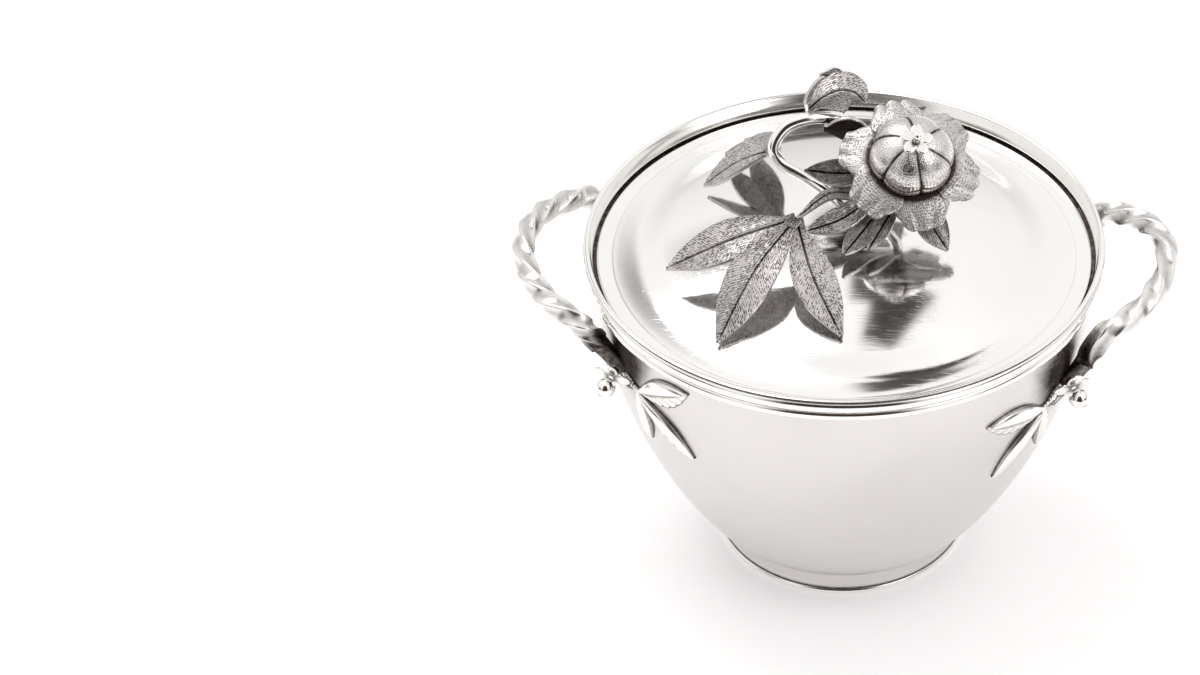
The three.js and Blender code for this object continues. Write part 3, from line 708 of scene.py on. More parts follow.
@dataclass
class Bowl:
    """The raised bowl with its rim moulding and ring foot."""

    sheet: float = 1.2
    turn_height: float = 2.7  # of the turn where the wall leaves the foot
    turn_width: float = 4.3
    lip_width: float = 1.2
    lip_height: float = 0.7  # above the upper reed
    reed_bulge: float = 0.9
    upper_reed: float = 2.5  # its height
    ledge_thickness: float = 1.2
    lid_seat_gap: float = 0.05
    bezel_clearance: float = 0.5  # locating ring to the ledge's inner edge
    foot_sheet: float = 1.4
    foot_flare: float = 0.45  # how far the foot's side splays
    foot_wire_width: float = 2.6
    foot_wire_bulge: float = 0.54
    foot_wire_reach: float = 0.9  # how far the wire stands out past the top of the foot
    body_top: float = field(init=False)
    shell_top: float = field(init=False)
    shell_bottom: float = field(init=False)
    foot_top: float = field(init=False)
    rim: float = field(init=False)
    top: float = field(init=False)

    def __post_init__(self) -> None:
        """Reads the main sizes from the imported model."""
        self.rim, _, self.top = corner("rim_moulding", 1)
        self.body_top, _, self.shell_top = corner("bowl_shell", 1)
        self.shell_bottom = corner("bowl_shell", 0)[2]
        self.foot_top = corner("foot_wire", 1)[0] - self.foot_wire_reach
        self.wall = self._wall(np.linspace(0, 1, 90))

    def _wall(self, share: Array) -> Array:
        """Outside of the wall as (radius, height), from the turn above the foot upward."""
        low = (self.foot_top + self.turn_width, self.shell_bottom + self.turn_height)
        rise = self.shell_top - low[1]
        return bezier(
            low,
            (low[0] + 5.7, low[1] + rise * 0.08),
            (self.body_top + 0.3, self.shell_top - rise * 0.45),
            (self.body_top, self.shell_top),
            share,
        )

    def radius_at(self, height: Array) -> Array:
        """Outer radius of the wall at a height."""
        return np.interp(height, self.wall[:, 1], self.wall[:, 0])

    def on_wall(self, azimuth: Array, height: Array, off: Array) -> Array:
        """Points on the wall: degrees towards the front from +X, height, and distance off it."""
        radius = self.radius_at(height) + off
        angle = np.radians(-np.asarray(azimuth, float))
        return together(radius * np.cos(angle), radius * np.sin(angle), height)

    def beside(self, azimuth: float, sideways: float, height: float, off: float) -> Array:
        """A point beside an azimuth.

        Args:
            azimuth: degrees towards the front from +X.
            sideways: millimetres round the wall from there, towards the front.
            height: above the table.
            off: distance off the wall.

        Returns:
            The point.
        """
        return self.on_wall(azimuth + sideways * self.per_mm(height), height, off)

    def per_mm(self, height: float) -> float:
        """Degrees round the bowl in one millimetre of its wall."""
        return 180 / (math.pi * float(self.radius_at(height)))

    def outside(self, points: Array, clear: float = 0.04) -> Array:
        """Pushes points that lie inside the wall out to its surface."""
        radius = np.hypot(points[..., 0], points[..., 1])
        least = self.radius_at(points[..., 2]) + clear
        grow = np.where(radius < least, least / np.maximum(radius, 1e-6), 1.0)
        return points * np.stack([grow, grow, np.ones_like(grow)], axis=-1)

    def shell(self, roots: tuple[tuple[float, float], ...]) -> Skin:
        """The raised bowl itself: one sheet, inside and out.

        Args:
            roots: azimuth and height of each place behind a handle's root where the wall gets
                painted shade.

        Returns:
            The turned bowl.
        """
        bottom = self.shell_bottom
        start = self.foot_top - 1
        under = [(0, bottom), (start * 0.5, bottom), (start, bottom)]
        turn = bezier(
            (start, bottom),
            (start + 2.6, bottom),
            (self.foot_top + self.turn_width - 1.6, bottom + 0.6),
            tuple(self.wall[0]),
            np.linspace(0.08, 1, 12),
        )
        lean = (self.shell_top - self.wall[::-1, 1]) / (self.shell_top - bottom)
        inner = self.wall[::-1] + np.stack(
            [-self.sheet * (1 + 0.15 * lean), self.sheet * 0.5 * lean], axis=1
        )
        floor = bezier(
            tuple(inner[-1]),
            (inner[-1][0] - 1.5, bottom + self.sheet + 0.7),
            (start - 1, bottom + self.sheet),
            (start - 4, bottom + self.sheet),
            np.linspace(0.1, 1, 8),
        )
        outline = np.vstack([under, turn, self.wall[1:], inner, floor, [(0, bottom + self.sheet)]])
        recess = np.zeros(len(outline))
        recess[1:10] = (0.2, 1.0, 1.0, 1.0, 1.0, 0.95, 0.7, 0.35, 0.1)
        skin = turned(outline, recess)
        points, marks = skin.points[0], skin.marks[0]
        away = np.degrees(np.arctan2(-points[:, 1], points[:, 0]))
        outer = np.hypot(points[:, 0], points[:, 1]) > self.radius_at(points[:, 2]) - 0.3
        # Painted shadow and reflection of the handle's underside, darkening the wall behind each
        # root.
        for azimuth, height in roots:
            beside = (away - azimuth + 180) % 360 - 180
            aside = np.radians(beside) * self.body_top / 8.5
            around = aside**2 + ((points[:, 2] - height) / 9.5) ** 2
            marks[:, 2] = np.maximum(marks[:, 2], 1.1 * np.exp(-(around**1.5)) * outer)
        return skin

    def moulding(self, seat: float, seat_radius: float) -> Skin:
        """Lip, upper reed and the ledge that carries the lid.

        Args:
            seat: height of the ledge's top.
            seat_radius: inner radius of the ledge.

        Returns:
            The turned moulding.
        """
        groove = self.rim - self.reed_bulge
        lip_inner = groove + self.reed_bulge * 0.5 - self.lip_width
        reed_top = self.top - self.lip_height
        reed_bottom = reed_top - self.upper_reed
        reed = half_round(groove, reed_top, self.upper_reed, self.reed_bulge)
        back = groove - self.lip_width * 0.5
        well = np.array([(back - 1, level) for level in np.linspace(seat, reed_bottom, 8)])
        throat = [
            (lip_inner - 0.5, reed_bottom + 0.9),
            (lip_inner - 0.12, reed_bottom + 2.1),
            (lip_inner, self.top - 0.32),
            (lip_inner + 0.08, self.top - 0.12),
        ]
        inner = np.vstack([well, throat])
        lip = np.array(
            [
                (lip_inner + 0.26, self.top),
                (lip_inner + 0.95, self.top),
                (lip_inner + 1.13, self.top - 0.08),
                (lip_inner + self.lip_width, self.top - 0.25),
            ]
        )
        base = [
            (back, reed_bottom),
            (back, seat - 0.45),
            (self.body_top, seat - self.ledge_thickness),
            (seat_radius, seat - self.ledge_thickness),
            (seat_radius, seat),
        ]
        outline = np.vstack([inner, lip, reed, base])
        recess = np.zeros(len(outline))
        first = len(inner) + len(lip)
        recess[first : first + len(reed)] = 0.85 * reed_shade(len(reed))
        recess[first - 1] = 0.5
        # Painted shade: the well darkens downwards to the ledge, deep inside the rim.
        recess[: len(well)] = 0.9 * np.linspace(1, 0, len(well)) ** 4 + 0.05
        recess[-1] = 1.0
        recess[first + len(reed)] = 1.0
        return turned(outline, recess)

    def lower_reed(self) -> Skin:
        """The half-round wire under the moulding."""
        high, low = corner("lower_rim_wire", 1), corner("lower_rim_wire", 0)[2]
        groove = high[0] - self.reed_bulge
        reed = half_round(groove, high[2], high[2] - low, self.reed_bulge)
        outline = np.vstack([[(groove - 0.3, high[2])], reed, [(groove - 0.3, low)]])
        recess = np.append(np.append(1, 0.9 * reed_shade(len(reed))), 1)
        return turned(outline, recess)

    def foot(self) -> Skin:
        """The splayed foot ring between the bowl and its base wire."""
        high, low = corner("foot_ring", 1)[2], corner("foot_ring", 0)[2]
        height = np.linspace(low, high, 16)
        share = (height - low) / (high - low)
        side = self.foot_top + self.foot_flare * (1 - share) ** 2
        lean = 0.12 * ridge(share - 0.12, 0.07) + 0.1 * ridge(share - 0.9, 0.06)
        outline = np.vstack(
            [
                np.stack([side + lean, height], axis=1),
                [(self.foot_top - self.foot_sheet, high), (self.foot_top - self.foot_sheet, low)],
            ]
        )
        recess = np.append(ridge(share - 0.02, 0.06) + ridge(share - 1.0, 0.05), [0.6, 0.6])
        return turned(outline, recess)

    def foot_wire(self) -> Skin:
        """The half-round wire that stands on the table."""
        high = corner("foot_wire", 1)
        reed = half_round(high[0] - self.foot_wire_bulge, high[2], high[2], self.foot_wire_bulge)
        back = high[0] - self.foot_wire_width
        outline = np.vstack([reed, [(back, 0), (back, high[2])]])
        recess = np.append(ridge(np.linspace(0, 1, len(reed)), 0.14), [0.6, 0.6])
        return turned(outline, recess)

    def make(self, shop: Workshop, roots: tuple[tuple[float, float], ...]) -> None:
        """Builds and dresses the bowl's five round pieces."""
        seat = corner("lid_dome", 0)[2] - self.lid_seat_gap
        seat_radius = corner("lid_bezel", 1)[0] + self.bezel_clearance
        shop.finish(self.shell(roots), "bowl_shell", "bowl", SATIN, sharp=30)
        shop.finish(self.moulding(seat, seat_radius), "rim_moulding", "bowl", POLISHED)
        shop.finish(self.lower_reed(), "lower_rim_wire", "bowl", POLISHED)
        shop.finish(self.foot(), "foot_ring", "bowl", SATIN)
        shop.finish(self.foot_wire(), "foot_wire", "bowl", POLISHED)


# ---- Handles ----


@dataclass(frozen=True)
class End:
    """One end of a handle.

    Attributes:
        azimuth: degrees from the handle's axis.
        drop: how much lower than usual the root sits.
        swing: degrees that its leaves are turned up by.
        lift: how much higher than usual the blossom sits.
        label: front or back.
        flips: factors for x and y that bring it to its place.
    """

    azimuth: float
    drop: float
    swing: float
    lift: float
    label: str
    flips: tuple[int, int]


@dataclass
class Handle:
    """A twisted square bar bent into a loop, with a leaf spray and a blossom at each root."""

    bowl: Bowl
    side: str
    dip: float  # how much lower than usual the loop's far side hangs
    ends: tuple[End, End]
    bar: float = 4.2  # side of the square bar
    turns: float = 2.25  # whole turns of twist along the loop
    rim_gap: float = 1.0  # bar to rim moulding where the bar passes it
    stand_off: float = 13.8  # rim out to the bar at the loop's far side
    root_drop: float = 16.0  # upper reed down to a root
    bar_drop: float = 2.6  # lip down to the bar at the loop's far side
    bar_start: tuple[float, float] = (-2.9, 6.0)  # sideways and up from the root's middle
    root_start: tuple[float, float] = (4.7, -2.0)  # the flattened end, likewise
    blossom_start: tuple[float, float] = (4.3, 2.0)
    blossom_off: float = 4.0  # blossom's middle off the wall
    spray_offset: float = 9.1  # root's middle round to the joint of its leaves
    berry: float = 2.35
    blossom_petals: int = 4

    def root_height(self, end: End) -> float:
        """Height of the middle of a root on the wall."""
        bowl = self.bowl
        return bowl.top - bowl.lip_height - bowl.upper_reed - self.root_drop - end.drop

    def root_top(self, end: End) -> Array:
        """Where the bar grows out of its flattened root."""
        sideways, up = self.bar_start
        off = self.bar * 0.5 + self.rim_gap
        return self.bowl.beside(end.azimuth, sideways, self.root_height(end) + up, off)

    def half_line(self, end: End) -> Array:
        """Points of the bar's middle line from one root to the loop's far side."""
        bowl = self.bowl
        pass_radius = bowl.rim + self.rim_gap + self.bar / math.sqrt(2)
        angle = math.radians(end.azimuth - 4)
        spread = math.sin(angle) * pass_radius
        reach = bowl.rim + self.stand_off
        level = bowl.top - self.bar_drop - self.dip
        return np.array(
            [
                self.root_top(end),
                (pass_radius * math.cos(angle), -spread, level - 4.2),
                (reach - 7.6, -spread * 0.78, level - 2),
                (reach - 2.4, -spread * 0.47, level - 0.6),
                (reach, 0, level),
            ]
        )

    def line(self, front: End, back: End) -> Line:
        """Middle line of the whole loop."""
        return Line([*self.half_line(front), *(self.half_line(back)[-2::-1] * (1, -1, 1))])

    def section(self, corner_ease: float = 0.3, hollow: float = 0.04) -> Array:
        """Outline of the square bar: crisp corners and faces that are a little hollow."""
        half = self.bar / 2
        across = np.linspace(-1, 1, 9)
        face = np.stack([across * (half - corner_ease), np.full(9, half)], axis=1)
        face[:, 1] -= hollow * (1 - across**2)
        x, y = face[::-1, 0], face[::-1, 1]
        turns = [(np.cos(a), np.sin(a)) for a in (0, math.pi / 2, math.pi, math.pi * 1.5)]
        sides = [np.stack([x * cos - y * sin, x * sin + y * cos], axis=1) for cos, sin in turns]
        return np.vstack(sides)

    def bar_skin(self) -> Skin:
        """The twisted bar."""
        along = np.linspace(0, 1, 300)
        middle, side, normal = self.line(*self.ends).frames(along, (0, 0, 1))
        outline = self.section()
        twist = -self.turns * TAU * along
        cos, sin = np.cos(twist)[:, None], np.sin(twist)[:, None]
        sideways = outline[:, 0] * cos - outline[:, 1] * sin
        upward = outline[:, 0] * sin + outline[:, 1] * cos
        rows = (
            middle[:, None]
            + side[:, None] * sideways[..., None]
            + normal[:, None] * upward[..., None]
        )
        # The middle of each face is darker, and painted shade darkens the bar towards both roots.
        hollow = 0.34 * ridge(np.abs(outline).min(axis=1) / self.bar, 0.22)
        near_root = ridge(along, 0.08) + ridge(1 - along, 0.08)
        recess = np.clip(hollow[None] + 0.9 * near_root[:, None], 0, 1)
        skin = Skin()
        skin.loft(rows, together(along[:, None] * 100, outline[None, :, 0], recess))
        return skin

    def root(self, end: End) -> Skin:
        """The bar's end, flattened against the wall."""
        tip = self.root_top(end)
        ahead = self.line(end, end).at(np.array([0.0, 2e-4]))
        heading = unit(ahead[1] - ahead[0])
        tip = tip - heading * 0.05
        height = self.root_height(end)
        sideways, up = self.root_start
        start = self.bowl.beside(end.azimuth, sideways, height + up, -0.6)
        along = np.linspace(0, 1, 28)
        pull = tip - heading * 4
        on, left = along[:, None], 1 - along[:, None]
        path = left**2 * start + 2 * left * on * pull + on**2 * tip
        outward = unit(self.bowl.on_wall(end.azimuth, height, 1) * (1, 1, 0))
        forward = unit(np.gradient(path, axis=0))
        side = unit(np.cross(outward, forward))
        normal = unit(np.cross(forward, side))
        outline = self.section(1.5, -0.15) / (self.bar / 2)
        half_width = mix(2.9, self.bar * 0.5, np.sqrt(along))[:, None]
        half_depth = mix(1.4, self.bar * 0.5, along)[:, None]
        rows = (
            path[:, None]
            + side[:, None] * (outline[:, 0] * half_width)[..., None]
            + normal[:, None] * (outline[:, 1] * half_depth)[..., None]
        )
        # Painted shade: the whole flattened root is darkened where it lies in against the wall.
        recess = np.full(rows.shape[:2], 0.85)
        marks = together(along[:, None] * 10, outline[None, :, 0], recess)
        skin = Skin()
        skin.loft(self.bowl.outside(rows), marks)
        return skin

    def wall_leaf(
        self, skin: Skin, joint: tuple[float, float], length: float, heading: float, width: float
    ) -> None:
        """Adds a chased leaf that lies on the wall.

        Args:
            skin: the spray it belongs to.
            joint: azimuth and height where it starts.
            length: stem to tip.
            heading: its direction on the wall, degrees up from level.
            width: at its widest.
        """
        azimuth, height = joint
        per_mm = self.bowl.per_mm(height)
        angle = math.radians(heading)
        along, across, face = leaf_grid(64, 30)
        nicks = 1 - 0.13 * np.where(across < 0, np.abs(np.sin(along * 7.5 * math.pi)) ** 6, 0)
        half = leaf_half_width(width, 1.6, along) * across * nicks
        sideways = length * along * math.cos(angle) - half * math.sin(angle)
        up = length * along * math.sin(angle) + half * math.cos(angle)
        blade = np.sin(math.pi * np.clip(along, 0, 1)) ** 0.6
        pillow = (1 - across**2) ** 0.5 * (0.75 + 0.75 * (across > 0))
        pillow = pillow + 0.35 * ridge(across + 0.08, 0.1)
        ends = np.clip(along * 6, 0, 1) * np.clip((1 - along) * 7, 0, 1)
        groove = ridge(across - 0.04, 0.07) * ends
        notch = ridge(np.sin((along + across * 0.12) * 7.5 * math.pi), 0.3)
        serrate = np.where(across < 0, notch, 0)
        rise = blade * (0.95 * pillow - 0.5 * groove - 0.22 * serrate * np.abs(across) * 1.4)
        off = np.where(face < 0, 0.04, 0.35 + np.maximum(rise, 0) + 0.25 * (1 - across**2))
        # Painted shade along the leaf's edge and on its under face, where it lies against the wall.
        rim_dark = np.where(np.abs(across) > 0.93, 0.55, 0) + np.where(face < 0, 1, 0)
        recess = np.clip(groove + 0.8 * serrate * np.abs(across) ** 0.6 + rim_dark, 0, 1)
        marks = np.stack([along * length, half, recess], axis=-1)
        skin.loft(self.bowl.on_wall(azimuth + sideways * per_mm, height + up, off), marks)

    def spray(self, end: End) -> Skin:
        """Three leaves that fan out over the wall from one joint."""
        height = self.root_height(end) - 0.5
        joint = (end.azimuth + self.spray_offset * self.bowl.per_mm(height), height)
        skin = Skin()
        self.wall_leaf(skin, joint, 19.4, 21 + end.swing, 7.4)
        self.wall_leaf(skin, joint, 20.2, -44 + end.swing, 6.6)
        self.wall_leaf(skin, joint, 15.4, -97 + end.swing, 5.0)
        self.wall_leaf(skin, joint, 6.5, 160 + end.swing, 2.6)
        return skin

    def facing(self) -> Array:
        """The way a blossom looks."""
        return unit(np.array([0.4, -0.84, -0.36]))

    def blossom_middle(self, end: End) -> Array:
        """Centre of a blossom."""
        sideways, up = self.blossom_start
        height = self.root_height(end) + up + end.lift
        return self.bowl.beside(end.azimuth, sideways, height, self.blossom_off)

    def blossom(self, end: End) -> Skin:
        """Four cupped petals round a short calyx."""
        middle, turn = self.blossom_middle(end), basis(self.facing())
        skin = Skin()
        for i in range(self.blossom_petals):
            angle = i / self.blossom_petals * TAU + 0.5
            add_petal_ball(skin, middle, turn, 2.4, 1.3, 2.3, angle)
        reach = np.array([0.4, 1.0, 1.5, 1.6, 0.5])
        depth = np.array([-2.2, -2.0, -0.6, 0.2, 0.35])
        add_turned(skin, middle, turn, reach, depth)
        return skin

    def berry_skin(self, end: End) -> Skin:
        """A polished ball with a small punched eye."""
        facing = self.facing()
        middle = self.blossom_middle(end) + facing * (self.berry + 0.95)
        angle = np.linspace(0, math.pi, 30)
        dent = 0.2 * ridge(angle, 0.2)
        reach = (self.berry - dent) * np.sin(angle)
        depth = (self.berry - dent) * np.cos(angle)
        eye = unit(np.array([0.55, -0.62, -0.45]))
        skin = Skin()
        add_turned(skin, middle, basis(eye), reach, depth, 40, np.clip(ridge(angle, 0.24), 0, 1))
        return skin

    def shaded(self) -> list[tuple[float, float]]:
        """Azimuth and height of the places on the wall behind the roots that are painted with
        shade.
        """
        places = []
        for end in self.ends:
            angle = math.radians(end.azimuth + 4)
            x, y = math.cos(angle) * end.flips[0], math.sin(angle) * end.flips[1]
            azimuth = math.degrees(math.atan2(y, x))
            places.append((azimuth, self.root_height(end) + 8))
        return places

    def make(self, shop: Workshop) -> None:
        """Builds and dresses the bar and both roots."""
        flips = self.ends[0].flips
        shop.finish(self.bar_skin(), f"handle_{self.side}", "bowl", TWISTED, flips, 60)
        for end in self.ends:
            name = f"{self.side}_{end.label}"
            shop.finish(self.root(end), "handle_root_" + name, "bowl", CHASED, end.flips)
            shop.finish(self.spray(end), "leaf_spray_" + name, "bowl", CHASED, end.flips, 55)
            shop.finish(self.blossom(end), "blossom_" + name, "bowl", CHASED, end.flips, 60)
            shop.finish(self.berry_skin(end), "berry_" + name, "bowl", POLISHED, end.flips, 70)


# ---- Shapes that handles and finial share ----


def basis(facing: Array) -> Array:
    """Rows right, away and facing of the smallest turn that takes +Z to facing."""
    turn = Vector((0, 0, 1)).rotation_difference(Vector(facing)).to_matrix()
    return np.array(turn.transposed())


def add_turned(
    skin: Skin,
    middle: Array,
    turn: Array,
    reach: Array,
    depth: Array,
    steps: int = 28,
    recess: Array | None = None,
) -> None:
    """Adds a round solid about its own axis.

    Args:
        skin: the skin to add to.
        middle: its centre.
        turn: its directions, from basis().
        reach: distances from its axis, end to end.
        depth: distances along its axis, end to end.
        steps: sides.
        recess: how dark each row is painted, for patina in a groove or for painted shade.
    """
    angle = np.linspace(0, TAU, steps, endpoint=False)
    spokes = np.cos(angle)[:, None] * turn[0] + np.sin(angle)[:, None] * turn[1]
    rows = middle + reach[:, None, None] * spokes + depth[:, None, None] * turn[2]
    deep = np.zeros(len(reach)) if recess is None else recess
    marks = together(angle * 2, depth[:, None], deep[:, None])
    skin.loft(rows, marks, capped=bool(reach[0] > 0.01))


def add_petal_ball(
    skin: Skin,
    middle: Array,
    turn: Array,
    radius: float,
    thickness: float,
    reach: float,
    angle: float,
) -> None:
    """Adds a round-ended petal: a flattened ball with a shallow hollow and a crease.

    Args:
        skin: the skin to add to.
        middle: the flower's centre.
        turn: the flower's directions, from basis().
        radius: half the petal's length.
        thickness: front to back.
        reach: the flower's axis to the petal's middle.
        angle: where the petal lies round the axis.
    """
    polar = np.linspace(0, math.pi, 20)[:, None]
    about = np.linspace(0, TAU, 28, endpoint=False)[None]
    x = radius * np.cos(polar) * np.ones_like(about)
    y = radius * 0.8 * np.sin(polar) * np.cos(about)
    z = thickness / 2 * np.sin(polar) * np.sin(about)
    inner = np.clip(1 - (x / radius) ** 2 - (y / radius / 0.8) ** 2, 0, 1)
    z = z - np.where(z > 0, 0.22 * thickness * inner**1.5, 0)
    x = x + reach
    cos, sin = math.cos(angle), math.sin(angle)
    rows = (
        middle
        + (x * cos - y * sin)[..., None] * turn[0]
        + (x * sin + y * cos)[..., None] * turn[1]
        + z[..., None] * turn[2]
    )
    # Painted shade on the petal's back half; each petal also darkens towards the flower's middle.
    hollow = ridge(x - reach * 0.35, radius * 0.35) * 0.8
    recess = np.clip(hollow + np.where(z < 0, 0.35, 0), 0, 1)
    marks = np.stack([x, y, recess], axis=-1)
    skin.loft(rows, marks, capped=False)


def leaf_grid(rows: int, columns: int) -> tuple[Array, Array, Array]:
    """Positions over a sheet's closed section: top face, rolled edge, under face, rolled edge.

    Args:
        rows: steps along the leaf.
        columns: steps across the top.

    Returns:
        Along 0 to 1, across -1 to 1 and face -1 to 1 for every point.
    """
    top = np.linspace(-1, 1, columns)
    across = np.concatenate([top, [1, 1, 1], top[::-2], [-1, -1, -1]])
    edge = np.array([0.7, 0, -0.7])
    face = np.concatenate([np.ones(columns), edge, -np.ones(len(top[::-2])), -edge])
    along = 0.5 - 0.5 * np.cos(np.linspace(0, 1, rows) * math.pi)
    along = 0.4 * along + 0.6 * np.linspace(0, 1, rows)
    return tuple(np.array(a) for a in np.broadcast_arrays(along[:, None], across[None], face[None]))


def leaf_half_width(width: float, stem: float, along: Array) -> Array:
    """Half-width of a pointed leaf along its length, 0 at the stem to 1 at the tip."""
    blade = (width / 2) * np.abs(np.sin(math.pi * np.minimum(along**1.15, 1))) ** 0.85
    return np.maximum(blade, mix(stem / 2, 0.35, along))


@dataclass(frozen=True)
class Leaf:
    """A free leaf of sheet silver along a given line, veined and cupped about its midrib.

    Attributes:
        points: its midrib, from stem to tip.
        up: the way its top face looks.
        width: at its widest.
        stem: width where it starts.
        cup: rise towards the edges, as a share of the distance from the midrib.
        sheet: thickness.
        vein_pitch: distance between side veins.
        ripple: height of the waves along its edges.
        shade: painted shade over the whole leaf, on both faces, 0 to 1.
    """

    points: tuple[Triple, ...]
    up: Triple
    width: float
    stem: float
    cup: float
    sheet: float = 0.8
    vein_pitch: float = 2.1
    ripple: float = 0.0
    shade: float = 0.0

    def add_to(self, skin: Skin, rows: int = 110, columns: int = 44) -> None:
        """Adds the leaf's shell, its veins pressed into the top face."""
        line = Line(self.points)
        length = line.length()
        along, across, face = leaf_grid(rows, columns)
        middle, side, normal = line.frames(along[:, 0], self.up)
        half = leaf_half_width(self.width, self.stem, along)
        reach = half * across
        blade = np.clip((half - 0.5) / max(self.width * 0.25, 0.3), 0, 1)
        midrib = ridge(reach, 0.17) * np.clip((1 - along) * 9, 0, 1)
        swell = np.exp(-((np.abs(reach) - 0.75) ** 2) / 0.5) * blade
        slanted = along * length - np.abs(reach) * 1.15
        vein = ridge(np.sin(slanted / self.vein_pitch * math.pi), 0.3) * blade
        vein = vein * (np.abs(reach) > 0.5)
        edge = np.clip((np.abs(across) - 0.86) / 0.12, 0, 1) * blade
        relief = -0.34 * midrib + 0.2 * swell - 0.03 * vein + 0.16 * edge
        wave = self.ripple * np.sin(slanted / 3.2) * np.abs(across) * blade
        rolled = np.where(np.abs(face) < 1, 0.12, 0) * np.sign(across)
        lift = self.cup * np.abs(across) * half + face * self.sheet / 2 + wave
        lift = lift + np.where(face > 0.9, relief, 0)
        place = (
            middle[:, None]
            + side[:, None] * (reach + rolled)[..., None]
            + normal[:, None] * lift[..., None]
        )
        # Painted shade near the stem, on the under face, and over the whole leaf by its shade
        # value; the midrib and veins hold patina.
        base = ridge(along, 0.16) * 0.55
        deep = 0.9 * midrib + 0.1 * vein + base + self.shade - 0.9 * edge
        recess = np.clip(np.where(face > 0.9, deep, 0.35 + self.shade), 0, 1)
        recess = np.where(np.abs(face) < 0.9, SHEET_EDGE, recess)
        skin.loft(place, np.stack([along * length, reach, recess], axis=-1))


# ---- Lid ----


@dataclass
class Lid:
    """The domed lid with its locating ring, and the fixing of the finial."""

    sheet: float = 1.1
    band: float = 3.6  # flat band at the edge
    step_inset: float = 11.35  # edge in to the ring where the dome starts
    step_rise: float = 1.6  # edge up to the foot of the dome
    step_blend: float = 4.4  # half the width of the soft step
    seam: float = 0.1
    stud: float = 1.5  # radius
    stud_clearance: float = 0.15
    boss_height: float = 1.8
    bezel_sheet: float = 1.0
    radius: float = field(init=False)
    edge_top: float = field(init=False)
    apex: float = field(init=False)

    def __post_init__(self) -> None:
        """Reads the lid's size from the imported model."""
        low, high = corner("lid_dome", 0), corner("lid_dome", 1)
        self.radius = high[0]
        self.edge_top = low[2] + self.sheet
        self.step = self.radius - self.step_inset
        self.apex = corner("finial_boss", 1)[2] - self.boss_height
        rise = self.apex - self.edge_top - self.step_rise
        self.bend = (self.step**2 + rise**2) / (2 * rise)

    def top(self, radius: Array) -> Array:
        """Height of the lid's top at a distance from its axis."""
        radius = np.asarray(radius, float)
        inner = np.minimum(radius, self.step)
        dome = self.apex - self.bend + np.sqrt(self.bend**2 - inner**2)
        edge = self.radius - self.band
        slope = np.clip((edge - radius) / (edge - self.step), 0, 1)
        flat = self.edge_top + (self.step_rise - 0.5) * slope**1.5
        return np.where(radius < self.step, dome, flat)

    def dome(self) -> Skin:
        """The dome.

        A soft step separates it from the flat zone, and a fine scribed line runs near its edge.
        """
        blend = self.step_blend
        radius = np.concatenate(
            [
                np.linspace(self.radius - 0.5, self.step + blend, 40),
                np.linspace(self.step + blend - 0.2, self.step - blend + 0.2, 43),
                np.linspace(self.step - blend, self.stud + self.stud_clearance, 60),
            ]
        )
        share = np.clip(0.5 - 0.5 * (radius - self.step) / blend, 0, 1)
        share = share**2 * (3 - 2 * share)
        outer = self.top(np.maximum(radius, self.step + 1e-6))
        outer = outer + 0.2 * np.maximum(self.step - radius, 0)
        within = np.minimum(radius, self.step + blend)
        inner = self.apex - self.bend + np.sqrt(self.bend**2 - within**2)
        height = outer * (1 - share) + inner * share
        line = ridge(radius - (self.radius - self.band), 0.14)
        height = height - 0.04 * line
        edge = [
            (self.radius - 0.05, self.edge_top - self.sheet),
            (self.radius, self.edge_top - self.sheet + 0.12),
            (self.radius, self.edge_top - 0.35),
            (self.radius - 0.1, self.edge_top - 0.12),
            (self.radius - 0.28, self.edge_top - 0.02),
        ]
        under = np.stack([radius, height - self.sheet], axis=1)[::-1]
        under = under[under[:, 0] < self.radius - 1]
        top = np.stack([radius, height], axis=1)
        outline = np.vstack([edge, top, under])
        recess = np.zeros(len(outline))
        # Painted shadow on the lid's edge, in the gap against the rim, and painted shade on the
        # dome towards the boss, under the flower; the scribed line holds patina.
        recess[: len(edge)] = (1.0, 1.0, 0.9, 0.4, 0.1)
        recess[len(edge) : len(edge) + len(top)] = 0.15 * line
        recess[len(edge) + len(top) - 12 : len(edge) + len(top)] = np.linspace(0, 0.8, 12)
        return turned(outline, recess, 288)

    def bezel(self) -> Skin:
        """The locating ring that drops inside the bowl's ledge."""
        high, low = corner("lid_bezel", 1), corner("lid_bezel", 0)[2]
        outer, inner = high[0], high[0] - self.bezel_sheet
        points = [
            (outer, high[2]),
            (outer, low + 0.3),
            (outer - 0.4, low),
            (inner, low),
            (inner, high[2]),
        ]
        return turned(rounded(points, 0.12))

    def boss(self) -> Skin:
        """Turned boss on the dome with the stud that passes through it."""
        high, low = corner("finial_boss", 1), corner("finial_boss", 0)[2]
        seat = self.apex + self.seam
        points = [
            (0, low),
            (self.stud - 0.3, low),
            (self.stud, low + 0.3),
            (self.stud, seat),
            (high[0], seat),
            (high[0], seat + 0.35),
            (high[0] - 0.25, seat + 0.65),
            (high[0] - 0.9, seat + 0.85),
            (high[0] - 1.7, seat + 1.05),
            (2.1, high[2] - 0.2),
            (1.7, high[2]),
            (0, high[2]),
        ]
        return turned(points, [0, 0, 0, 0.9, 0.9, 0.5, 0.1, 0.1, 0.5, 0.5, 0.5, 0.5], 64)

    def washer(self) -> Skin:
        """Washer under the dome."""
        high, low = corner("finial_washer", 1), corner("finial_washer", 0)[2]
        hole = self.stud + self.stud_clearance
        points = [(hole, low), (high[0], low), (high[0], high[2]), (hole, high[2])]
        return turned(rounded(points, 0.12), None, 64)

